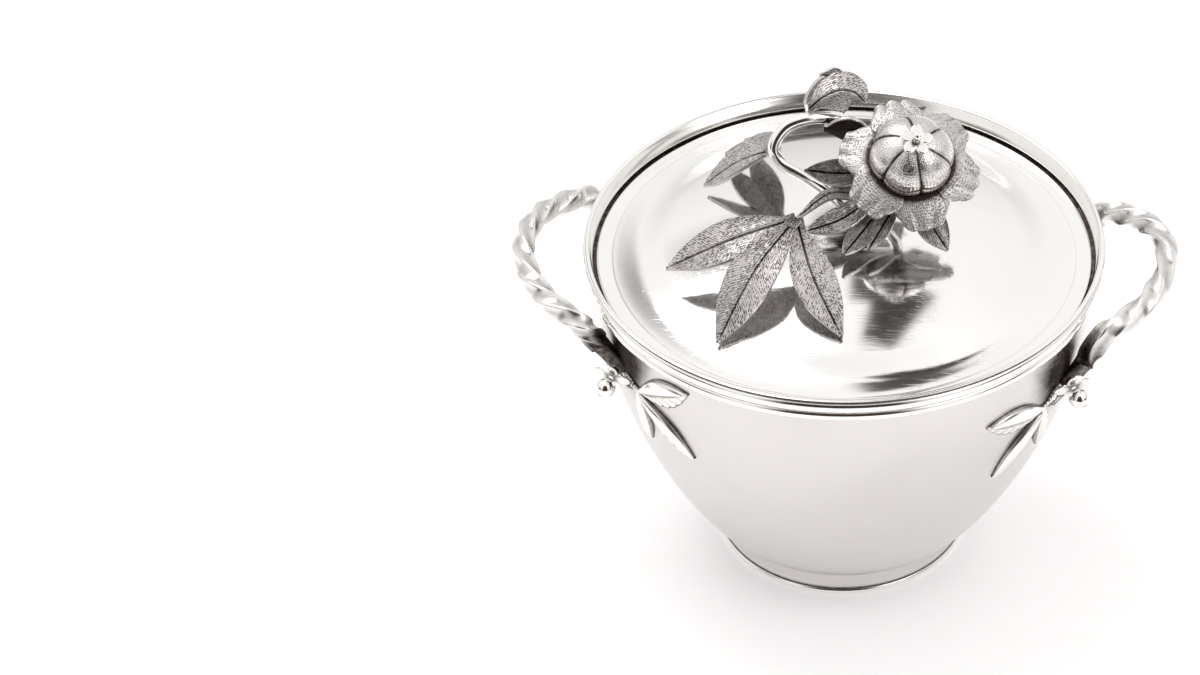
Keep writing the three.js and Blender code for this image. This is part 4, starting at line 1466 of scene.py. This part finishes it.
    def nut(self) -> Skin:
        """Square nut with eased corners and a round hole."""
        high, low = corner("finial_nut", 1), corner("finial_nut", 0)[2]
        angle = np.linspace(0, TAU, 64, endpoint=False)
        square = high[0] / np.maximum(np.abs(np.cos(angle)), np.abs(np.sin(angle)))
        square = np.minimum(square, high[0] * 1.3)
        hole = np.full_like(angle, self.stud + self.stud_clearance)
        rows = []
        for reach, level in (
            (hole, low),
            (square - 0.2, low),
            (square, low + 0.2),
            (square, high[2] - 0.2),
            (square - 0.2, high[2]),
            (hole, high[2]),
            (hole, low),
        ):
            around = (reach * np.cos(angle), reach * np.sin(angle), np.full_like(angle, level))
            rows.append(np.stack(around, axis=1))
        skin = Skin()
        skin.loft(np.array(rows), capped=False)
        return skin

    def make(self, shop: Workshop) -> None:
        """Builds and dresses the lid and its fixings."""
        shop.finish(self.dome(), "lid_dome", "lid", MIRROR, sharp=30)
        shop.finish(self.bezel(), "lid_bezel", "lid", INSIDE)
        shop.finish(self.boss(), "finial_boss", "lid", POLISHED)
        shop.finish(self.washer(), "finial_washer", "lid", INSIDE)
        shop.finish(self.nut(), "finial_nut", "lid", INSIDE, sharp=30)


# ---- Finial ----


@dataclass
class Finial:
    """A flower on a looped stalk with sprays of leaves; places are measured from the lid's apex."""

    lid: Lid
    stalk_radius: float = 1.4
    flower_radius: float = 16.3
    cup_depth: float = 5.0
    petal_sheet: float = 0.7
    crown: float = 0.9  # how far an outer petal rises before it droops
    droop: float = 2.6
    bud_radius: float = 9.4
    bud_height: float = 8.0
    petals: int = 6
    gap: float = 0.3
    leaf_start: float = 3.1  # flower's axis to the start of each leaf under it
    scallops: float = 3.0  # in the end of each outer petal
    row_pitch: float = 0.62  # between the fine lines of an outer petal
    bud_steps: int = 288
    floret_petals: int = 5

    def __post_init__(self) -> None:
        """Sets the flower's place and the way it looks."""
        self.middle = np.array(self.from_apex(15.1, -0.6, 17.5))
        self.facing = unit(np.array([0.1, -0.48, 0.87]))
        right = unit(np.array([1.0, 0, 0]) - self.facing * self.facing[0])
        self.turn = np.array([right, np.cross(self.facing, right), self.facing])

    def from_apex(self, x: float, y: float, rise: float) -> Triple:
        """A point above the dome's apex."""
        return (x, y, self.lid.apex + rise)

    def above_lid(self, x_share: float, y_share: float, clear: float) -> Triple:
        """A point that hangs over the lid: shares of the lid's radius and a clearance."""
        x, y = x_share * self.lid.radius, y_share * self.lid.radius
        return (x, y, float(self.lid.top(math.hypot(x, y))) + clear)

    def on_flower(self, reach: Array, angle: Array, along: Array) -> Array:
        """Points about the flower: distance out, angle round it, distance along its axis."""
        reach, angle, along = np.broadcast_arrays(reach, angle, along)
        parts = (reach * np.cos(angle), reach * np.sin(angle), along)
        steps = (part[..., None] * way for part, way in zip(parts, self.turn, strict=True))
        return self.middle + sum(steps)

    def stalk(self) -> Skin:
        """Round wire that loops up from the boss and comes down under the flower."""
        go = self.from_apex
        cup = self.middle - self.facing * (self.cup_depth + 1)
        boss = corner("finial_boss", 1)[2]
        line = Line(
            [
                (0, 0, boss + self.gap * 0.3),
                (0, 0, boss + 1.4),
                go(-3, 2.6, 5.2),
                go(-8.7, 6.2, 7.6),
                go(-14.4, 8.2, 10.4),
                go(-16, 9.4, 13.6),
                go(-13.4, 11.6, 17.6),
                go(-7.3, 13.4, 19),
                go(0.4, 15.8, 16.4),
                go(6.6, 13.6, 12.4),
                go(10.8, 8, 8.8),
                cup - self.facing * 2.4,
                cup - self.facing * 0.1,
            ]
        )
        along = np.linspace(0, 1, 240)
        middle = line.at(along)
        forward = unit(np.gradient(middle, axis=0))
        side = [unit(np.cross(forward[0], (0.3, 0.9, 0.1)))]
        for ahead in forward[1:]:
            side.append(unit(side[-1] - ahead * (side[-1] @ ahead)))
        side = np.array(side)
        normal = np.cross(forward, side)
        angle = np.linspace(0, TAU, 28, endpoint=False)
        thick = self.stalk_radius * (1 + 0.1 * ridge(along, 0.08))[:, None, None]
        spokes = np.cos(angle)[:, None] * side[:, None] + np.sin(angle)[:, None] * normal[:, None]
        recess = 0.7 * ridge(along, 0.05)[:, None]
        skin = Skin()
        skin.loft(
            middle[:, None] + thick * spokes,
            together(along[:, None] * 90, angle * self.stalk_radius, recess),
        )
        return skin

    def front_spray(self) -> Skin:
        """The three large leaves that reach forward over the lid, and their stem."""
        go, over = self.from_apex, self.above_lid
        joint, up = go(-10.6, -13.6, 10.4), (0, -0.35, 0.94)
        skin = Skin()
        for points, width in (
            ((joint, go(-25, -17.4, 7.2), over(-0.7, -0.303, 5.6)), 10.4),
            ((joint, go(-19.6, -25.2, 4.6), over(-0.49, -0.65, 1.2)), 10.8),
            ((joint, go(-6.8, -25.4, 3.4), over(-0.007, -0.663, 1.2)), 9.6),
        ):
            Leaf(points, up, width, 3, 0.12, ripple=0.1).add_to(skin, 150, 56)
        stem = (go(11.4, 1.2, 7.6), go(4.6, -0.8, 7.6), go(-2.6, -3.4, 10), joint)
        Leaf(stem, up, 3, 3, 0, vein_pitch=9).add_to(skin, 40, 16)
        return skin

    def rear_spray(self) -> Skin:
        """The smaller leaves behind and to the left of the stalk's loop."""
        go, over = self.from_apex, self.above_lid
        joint, up = go(-16.2, 14.6, 9), (-0.1, -0.2, 0.97)
        skin = Skin()
        for points, width in (
            ((joint, go(-24, 16.4, 4.4), over(-0.568, 0.306, 1.6)), 7.6),
            ((joint, go(-22, 23, 3.6), over(-0.487, 0.559, 2.2)), 7.6),
            ((joint, go(-19, 26.4, 3.4), over(-0.392, 0.698, 2.4)), 7),
        ):
            Leaf(points, up, width, 2.2, 0.12, ripple=0.1).add_to(skin, 110, 44)
        Leaf((go(-15.5, 11, 12), joint), up, 2.2, 2.2, 0, vein_pitch=9).add_to(skin, 24, 12)
        return skin

    def upper_leaves(self) -> dict[str, Leaf]:
        """The leaves about the top of the loop and under the flower, by CAD node."""
        go = self.from_apex
        made = {
            "crest_leaf": Leaf(
                (
                    go(-7.8, 14.6, 21),
                    go(-4.6, 15.6, 23.4),
                    go(-0.5, 16.2, 24.8),
                    go(2.7, 16.2, 23.9),
                    go(4.8, 15.9, 21.4),
                ),
                (0, -0.6, 0.8),
                10,
                2,
                -0.3,
            ),
            "curled_leaf": Leaf(
                (
                    go(-8.2, 15, 17.6),
                    go(-8.2, 19.8, 17.4),
                    go(-5.6, 22.8, 20),
                    go(-2.6, 24, 23.2),
                    go(-5.6, 23.2, 24.4),
                ),
                (0.5, -0.8, 0.2),
                6,
                2,
                0.1,
            ),
            # Painted shade: this leaf hangs under the crest leaf and is painted dark all over.
            "rear_under_leaf": Leaf(
                (go(-4.6, 12.4, 17), go(0.4, 12.2, 16.6), go(6.6, 11.8, 14.4)),
                (0, 0.9, 0.4),
                9.2,
                2,
                0.1,
                shade=0.8,
            ),
        }
        # The last column is the painted shade over each bract leaf.
        for name, angle, below, width, line, shade in (
            ("left", 174, 4.4, 7, ((0.4, 1.6, 11.9), (-8.9, 1.2, 13)), 0.55),
            ("front_left", 210, 4.6, 6, ((0.6, -7.4, 6.4), (-8.6, -12.6, 6)), 0.15),
            ("front", 236, 6.4, 5, ((4, -10, 3.6), (0, -16.6, 2.6)), 0.1),
            ("front_small", 268, 6, 4, ((8.8, -9.4, 5.2), (5.7, -15.3, 3.2)), 0.2),
            ("front_right", 310, 4.6, 7, ((19.4, -6.8, 5), (23.5, -12.1, 0.6)), 0.1),
            (
                "rear_right",
                80,
                5,
                6.6,
                ((13.6, 12.4, 9.4), (13.4, 17.8, 13.4), (18.6, 18.6, 18.6)),
                0.0,
            ),
        ):
            start = self.on_flower(self.leaf_start, math.radians(angle), -below)
            points = (tuple(start), *(go(*point) for point in line))
            up = tuple(self.facing)
            made["bract_leaf_" + name] = Leaf(points, up, width, 1.6, 0.12, shade=shade)
        return made

    def cup(self) -> Skin:
        """The cup under the petals."""
        share = np.linspace(0, 1, 14)
        bottom, top = -self.cup_depth - 1, -2.2
        reach = np.concatenate([[0.0], mix(1.5, 3.6, share**1.6), [0.0]])
        depth = np.concatenate([[bottom], mix(bottom, top, share), [top]])
        skin = Skin()
        # Painted shade: the whole cup under the petals is darkened.
        add_turned(skin, self.middle, basis(self.facing), reach, depth, 32, np.full(16, 0.5))
        return skin

    def outer_petal(self, index: int) -> Skin:
        """One of the broad outer petals, its end cut into round scallops."""
        middle_angle = index / self.petals * TAU - 0.26
        layer = 0.0 if index % 2 == 0 else -(self.petal_sheet + self.gap * 0.6)
        along, across, face = leaf_grid(64, 72)
        wave = across * self.scallops / 2 * math.pi
        scallop = np.abs(np.cos(wave)) ** 0.5
        limit = 1 - 0.1 * (1 - scallop) - 0.07 * across**4
        reach = mix(2.4, self.flower_radius, along * (1 + (limit - 1) * along**3))
        shoulder = np.sqrt(np.maximum(1 - along**10, 0.5))
        half = np.minimum(reach * 0.62, 7.3) * shoulder
        sag = self.crown * np.sin(math.pi * along) - self.droop * along**2
        fold = 0.1 * np.cos(wave * 2) * along**6 + 0.3 * (1 - across**2) * along
        fine = np.cos(across * half * TAU / self.row_pitch)
        relief = np.where(face > 0.9, 0.02 * fine * along, 0)
        depth = layer + sag + fold + relief + face * self.petal_sheet / 2
        place = self.on_flower(reach, middle_angle + across * half / reach, depth)
        crease = ridge(np.cos(wave), 0.16) * np.clip((along - 0.78) * 5, 0, 1)
        line_dark = np.clip(-fine, 0, 1) * 0.1
        # Painted shade: the petal darkens next to the bud and on its under face; the crease and
        # fine lines hold patina.
        near_bud = ridge(np.clip(reach - self.bud_radius, 0, 99), 1.1) * 0.95
        edge = np.clip((along - 0.955) / 0.03, 0, 1)
        edge = edge + np.clip((np.abs(across) - 0.94) / 0.04, 0, 1)
        deep = 0.45 * crease + line_dark + near_bud + 0.08 - 0.8 * edge * (near_bud < 0.3)
        recess = np.clip(np.where(face > 0.9, deep, 0.4), 0, 1)
        recess = np.where(np.abs(face) < 0.9, SHEET_EDGE, recess)
        skin = Skin()
        skin.loft(place, np.stack([reach, across * half, recess], axis=-1))
        return skin

    def bud_floor(self) -> float:
        """How far along the flower's axis the bud stands."""
        return self.crown + self.petal_sheet / 2 + self.gap

    def bud(self) -> Skin:
        """Six folded petals that close into a dome, each lapping over the next."""
        low = np.linspace(0.02, 1, 70)[:, None]
        polar = low * math.pi / 2
        angle = np.linspace(0, TAU, self.bud_steps, endpoint=False)[None]
        out = np.sin(polar)
        lap = ((angle + 0.3) * self.petals / TAU + 0.16 * (1 - out)) % 1.0
        petal_width = TAU * self.bud_radius / self.petals
        apart = np.minimum(lap, 1 - lap) * petal_width * out
        crease = ridge(apart, 0.26)
        arch = np.sin(math.pi * lap)
        fine = np.cos(lap * TAU * 11)
        swell = 0.5 * arch * out + 0.22 * lap * out - 0.26 * crease * out + 0.02 * fine * out
        rim = ridge(low - 0.86 - 0.08 * arch**0.6, 0.025)
        reach = (self.bud_radius - 0.35 + swell) * out - 0.3 * rim
        floor, rise = self.bud_floor(), np.cos(polar)
        height = floor + self.bud_height * rise**0.86 + 0.3 * (arch - 0.6) * rise * out
        rows = self.on_flower(reach, angle, height)
        deep = crease + 0.9 * rim + 0.22 * ridge(apart, 0.9) + 0.16 * np.clip(-fine, 0, 1)
        deep = deep + 0.5 * (low > 0.96)
        recess = np.clip(deep * np.clip(out * 2, 0, 1), 0, 1)
        marks = together(out * 12, angle * self.bud_radius * 0.5, recess)
        base = self.on_flower(np.array(0.0), angle, np.array(floor))
        tip = self.on_flower(np.array(0.0), angle, np.array(floor + self.bud_height + 0.12))
        end = np.zeros((1, self.bud_steps, 3))
        skin = Skin()
        skin.loft(np.vstack([tip, rows, base]), np.vstack([end, marks, end]), capped=False)
        return skin

    def floret(self) -> Skin:
        """Five small round petals on top of the bud."""
        middle = self.middle + self.facing * (self.bud_floor() + self.bud_height + self.gap + 0.6)
        turn = basis(self.facing)
        skin = Skin()
        for i in range(self.floret_petals):
            angle = i / self.floret_petals * TAU + 0.3
            add_petal_ball(skin, middle, turn, 1.75, 1.2, 2.15, angle)
        reach = np.array([0, 1.7, 1.75, 1.6, 0.0])
        depth = np.array([-0.9, -0.9, 0, 0.4, 0.42])
        add_turned(skin, middle, turn, reach, depth)
        return skin

    def seed(self) -> Skin:
        """The ball in the middle of the floret."""
        top = corner("floret_seed", 1)
        low = corner("floret_seed", 0)
        angle = np.linspace(0, math.pi, 24)
        radius = (top[2] - low[2]) / 2
        skin = Skin()
        # Painted shade on the lower side of the ball, away from the way the flower faces.
        add_turned(
            skin,
            (top + low) / 2,
            basis(self.facing),
            radius * np.sin(angle),
            radius * np.cos(angle),
            32,
            ridge(angle - 2.2, 0.6),
        )
        return skin

    def make(self, shop: Workshop) -> None:
        """Builds and dresses the whole finial."""
        shop.finish(self.stalk(), "finial_stalk", "lid", POLISHED, sharp=60)
        shop.finish(self.front_spray(), "front_leaf_spray", "lid", LEAF, sharp=70)
        shop.finish(self.rear_spray(), "rear_left_leaf_spray", "lid", LEAF, sharp=70)
        for node, leaf in self.upper_leaves().items():
            skin = Skin()
            leaf.add_to(skin)
            shop.finish(skin, node, "lid", LEAF, sharp=70)
        shop.finish(self.cup(), "flower_cup", "lid", LEAF)
        for index in range(self.petals):
            node = f"outer_petal_{index + 1}"
            shop.finish(self.outer_petal(index), node, "lid", PETAL, sharp=70)
        shop.finish(self.bud(), "bud", "lid", BUD, sharp=70)
        shop.finish(self.floret(), "floret", "lid", CHASED, sharp=60)
        shop.finish(self.seed(), "floret_seed", "lid", POLISHED, sharp=70)


# ---- Studio ----


@dataclass(frozen=True)
class Flag:
    """A card that darkens part of the studio's light.

    Attributes:
        azimuth: degrees from straight behind the bowl to its middle.
        elevation: of its middle, in degrees.
        half_width: in degrees.
        half_height: in degrees.
        soft: half the width of its blurred edge, in degrees.
        shade: its colour.
    """

    azimuth: float
    elevation: float
    half_width: float
    half_height: float
    soft: float
    shade: Triple

    def mask(self, wires: Wires, x: object, y: object, level: object) -> bpy.types.NodeSocket:
        """Share of the card's shade seen in each direction.

        Args:
            wires: the world's nodes.
            x, y: the direction's level parts.
            level: its elevation, 0 straight down to 1 straight up.

        Returns:
            0 outside the card to 1 inside it.
        """
        sin, cos = math.sin(math.radians(self.azimuth)), math.cos(math.radians(self.azimuth))
        ahead, aside = (
            wires.maths("ADD", wires.maths("MULTIPLY", x, a), wires.maths("MULTIPLY", y, b))
            for a, b in ((sin, cos), (cos, -sin))
        )
        azimuth = wires.maths("ARCTAN2", aside, ahead)
        elevation = wires.maths("MULTIPLY", level, math.pi)
        edge = math.radians(self.soft)
        parts = []
        for value, middle, half in (
            (azimuth, 0.0, math.radians(self.half_width)),
            (elevation, math.radians(self.elevation + 90), math.radians(self.half_height)),
        ):
            away = wires.maths("ABSOLUTE", wires.maths("SUBTRACT", value, middle))
            ends = {0: away, 1: half - edge, 2: half + edge, 3: 1.0, 4: 0.0}
            parts.append(wires.add("MapRange", ends, interpolation_type="SMOOTHSTEP").outputs[0])
        return wires.maths("MULTIPLY", *parts)


@dataclass
class Studio:
    """Pale floor, soft light all round and the camera."""

    camera_at: Triple = (0.0, -0.73457, 0.63714)
    camera_turn: Triple = (51.607, 1.8631, 2.9527)
    lens: float = 120.0
    glow: float = 0.43  # light that the paper itself gives off
    floor_half: float = 4.0
    sky_bands: tuple[tuple[float, float], ...] = (
        (-2, 0.66),
        (4, 0.74),
        (16, 0.88),
        (26, 0.97),
        (48, 1.02),
        (62, 1.1),
        (75, 1.0),
    )
    focus: Triple = (0, 0, 0.06)  # where the lamps look
    flags: tuple[Flag, ...] = (
        Flag(-19, 40, 7, 7, 6, (0.42, 0.41, 0.41)),
        Flag(15.5, 61, 7.5, 8, 1.5, (0.06, 0.052, 0.05)),
        Flag(7, 54.5, 5, 4.5, 0.8, (0.08, 0.07, 0.066)),
        Flag(180, 28, 30, 32, 8, (0.045, 0.032, 0.026)),
        Flag(-118, 8, 12, 12, 7, (0.12, 0.09, 0.075)),
        Flag(112, 8, 12, 12, 7, (0.12, 0.09, 0.075)),
    )

    def floor(self) -> None:
        """A wide white sheet under the bowl."""
        mesh = bpy.data.meshes.new("floor")
        half = self.floor_half
        corners = [(-half, -half, 0), (half, -half, 0), (half, half, 0), (-half, half, 0)]
        mesh.from_pydata(corners, [], [(0, 1, 2, 3)])
        floor = bpy.data.objects.new("floor", mesh)
        bpy.context.scene.collection.objects.link(floor)
        made = bpy.data.materials.new("white_paper")
        made.use_nodes = True
        made.node_tree.nodes.clear()
        wires = Wires(made.node_tree)
        place = wires.add("TexCoord").outputs["Object"]
        tone = wires.blend(wires.noise(place, 3.0), (0.8, 0.8, 0.8, 1), (0.82, 0.82, 0.82, 1))
        shader = wires.add(
            "BsdfPrincipled",
            {
                "Base Color": tone,
                "Roughness": 0.85,
                "Emission Color": tone,
                "Emission Strength": self.glow,
            },
        )
        wires.add("OutputMaterial", {"Surface": shader.outputs[0]})
        mesh.materials.append(made)

    def sky(self) -> None:
        """Light all round: bright overhead, greyer low down, with soft dark flags."""
        world = bpy.data.worlds.new("studio")
        bpy.context.scene.world = world
        world.use_nodes = True
        world.node_tree.nodes.clear()
        wires = Wires(world.node_tree)
        way = wires.add("TexCoord").outputs["Generated"]
        x, y, height = wires.add("SeparateXYZ", {0: way}).outputs
        level = wires.maths("MULTIPLY_ADD", wires.maths("ARCSINE", height), 1 / math.pi, 0.5)
        ramp = wires.add("ValToRGB", {0: level})
        band = ramp.color_ramp
        band.elements[0].position, band.elements[0].color = 0.0, (0.7, 0.69, 0.68, 1)
        band.elements[1].position, band.elements[1].color = 1.0, (0.95, 0.95, 0.95, 1)
        for angle, grey in self.sky_bands:
            band.elements.new(angle / 180 + 0.5).color = (grey, grey * 0.99, grey * 0.982, 1)
        light = ramp.outputs[0]
        for flag in self.flags:
            light = wires.blend(flag.mask(wires, x, y, level), light, (*flag.shade, 1))
        back = wires.add("Background", {"Color": light, "Strength": 1.0})
        wires.add("OutputWorld", {"Surface": back.outputs[0]})

    def lamp(self, name: str, at: Triple, size: float, power: float) -> None:
        """A large soft lamp that looks at the bowl."""
        light = bpy.data.lights.new(name, "AREA")
        light.shape = "DISK"
        light.size = size
        light.energy = power
        lamp = bpy.data.objects.new(name, light)
        lamp.location = at
        lamp.rotation_mode = "QUATERNION"
        way = Vector(self.focus) - Vector(at)
        lamp.rotation_quaternion = way.to_track_quat("-Z", "Y")
        bpy.context.scene.collection.objects.link(lamp)

    def camera(self) -> None:
        """The camera, as plain values."""
        data = bpy.data.cameras.new("camera")
        data.sensor_width = 36.0
        data.lens = self.lens
        data.clip_start = 0.02
        data.clip_end = 30.0
        camera = bpy.data.objects.new("camera", data)
        camera.location = self.camera_at
        camera.rotation_euler = tuple(math.radians(angle) for angle in self.camera_turn)
        bpy.context.scene.collection.objects.link(camera)
        bpy.context.scene.camera = camera

    def make(self) -> None:
        """Sets up the floor, light and camera."""
        self.floor()
        self.sky()
        self.lamp("key_light", (-0.5, 0.55, 1.35), 0.9, 5.5)
        self.lamp("fill_light", (0.9, -0.5, 1.1), 0.8, 2.5)
        self.camera()
        bpy.context.scene.view_settings.view_transform = "Standard"


def main() -> None:
    """Builds every sub-assembly in order."""
    logging.basicConfig(level=logging.INFO, format="%(name)s: %(message)s")
    studio = Studio()
    studio.make()
    shop = Workshop(Effects())
    bowl = Bowl()
    right = Handle(
        bowl,
        "right",
        1.0,
        (
            End(27, 2.6, -7, 2, "front", (1, 1)),
            End(23, 2, 0, 0, "back", (1, -1)),
        ),
    )
    left = Handle(
        bowl,
        "left",
        -0.3,
        (
            End(26, 0, 0, 0, "back", (-1, -1)),
            End(27, -1.6, 7, 0, "front", (-1, 1)),
        ),
    )
    bowl.make(shop, (*right.shaded(), *left.shaded()))
    right.make(shop)
    left.make(shop)
    lid = Lid()
    lid.make(shop)
    Finial(lid).make(shop)


if __name__ == "__main__":
    main()
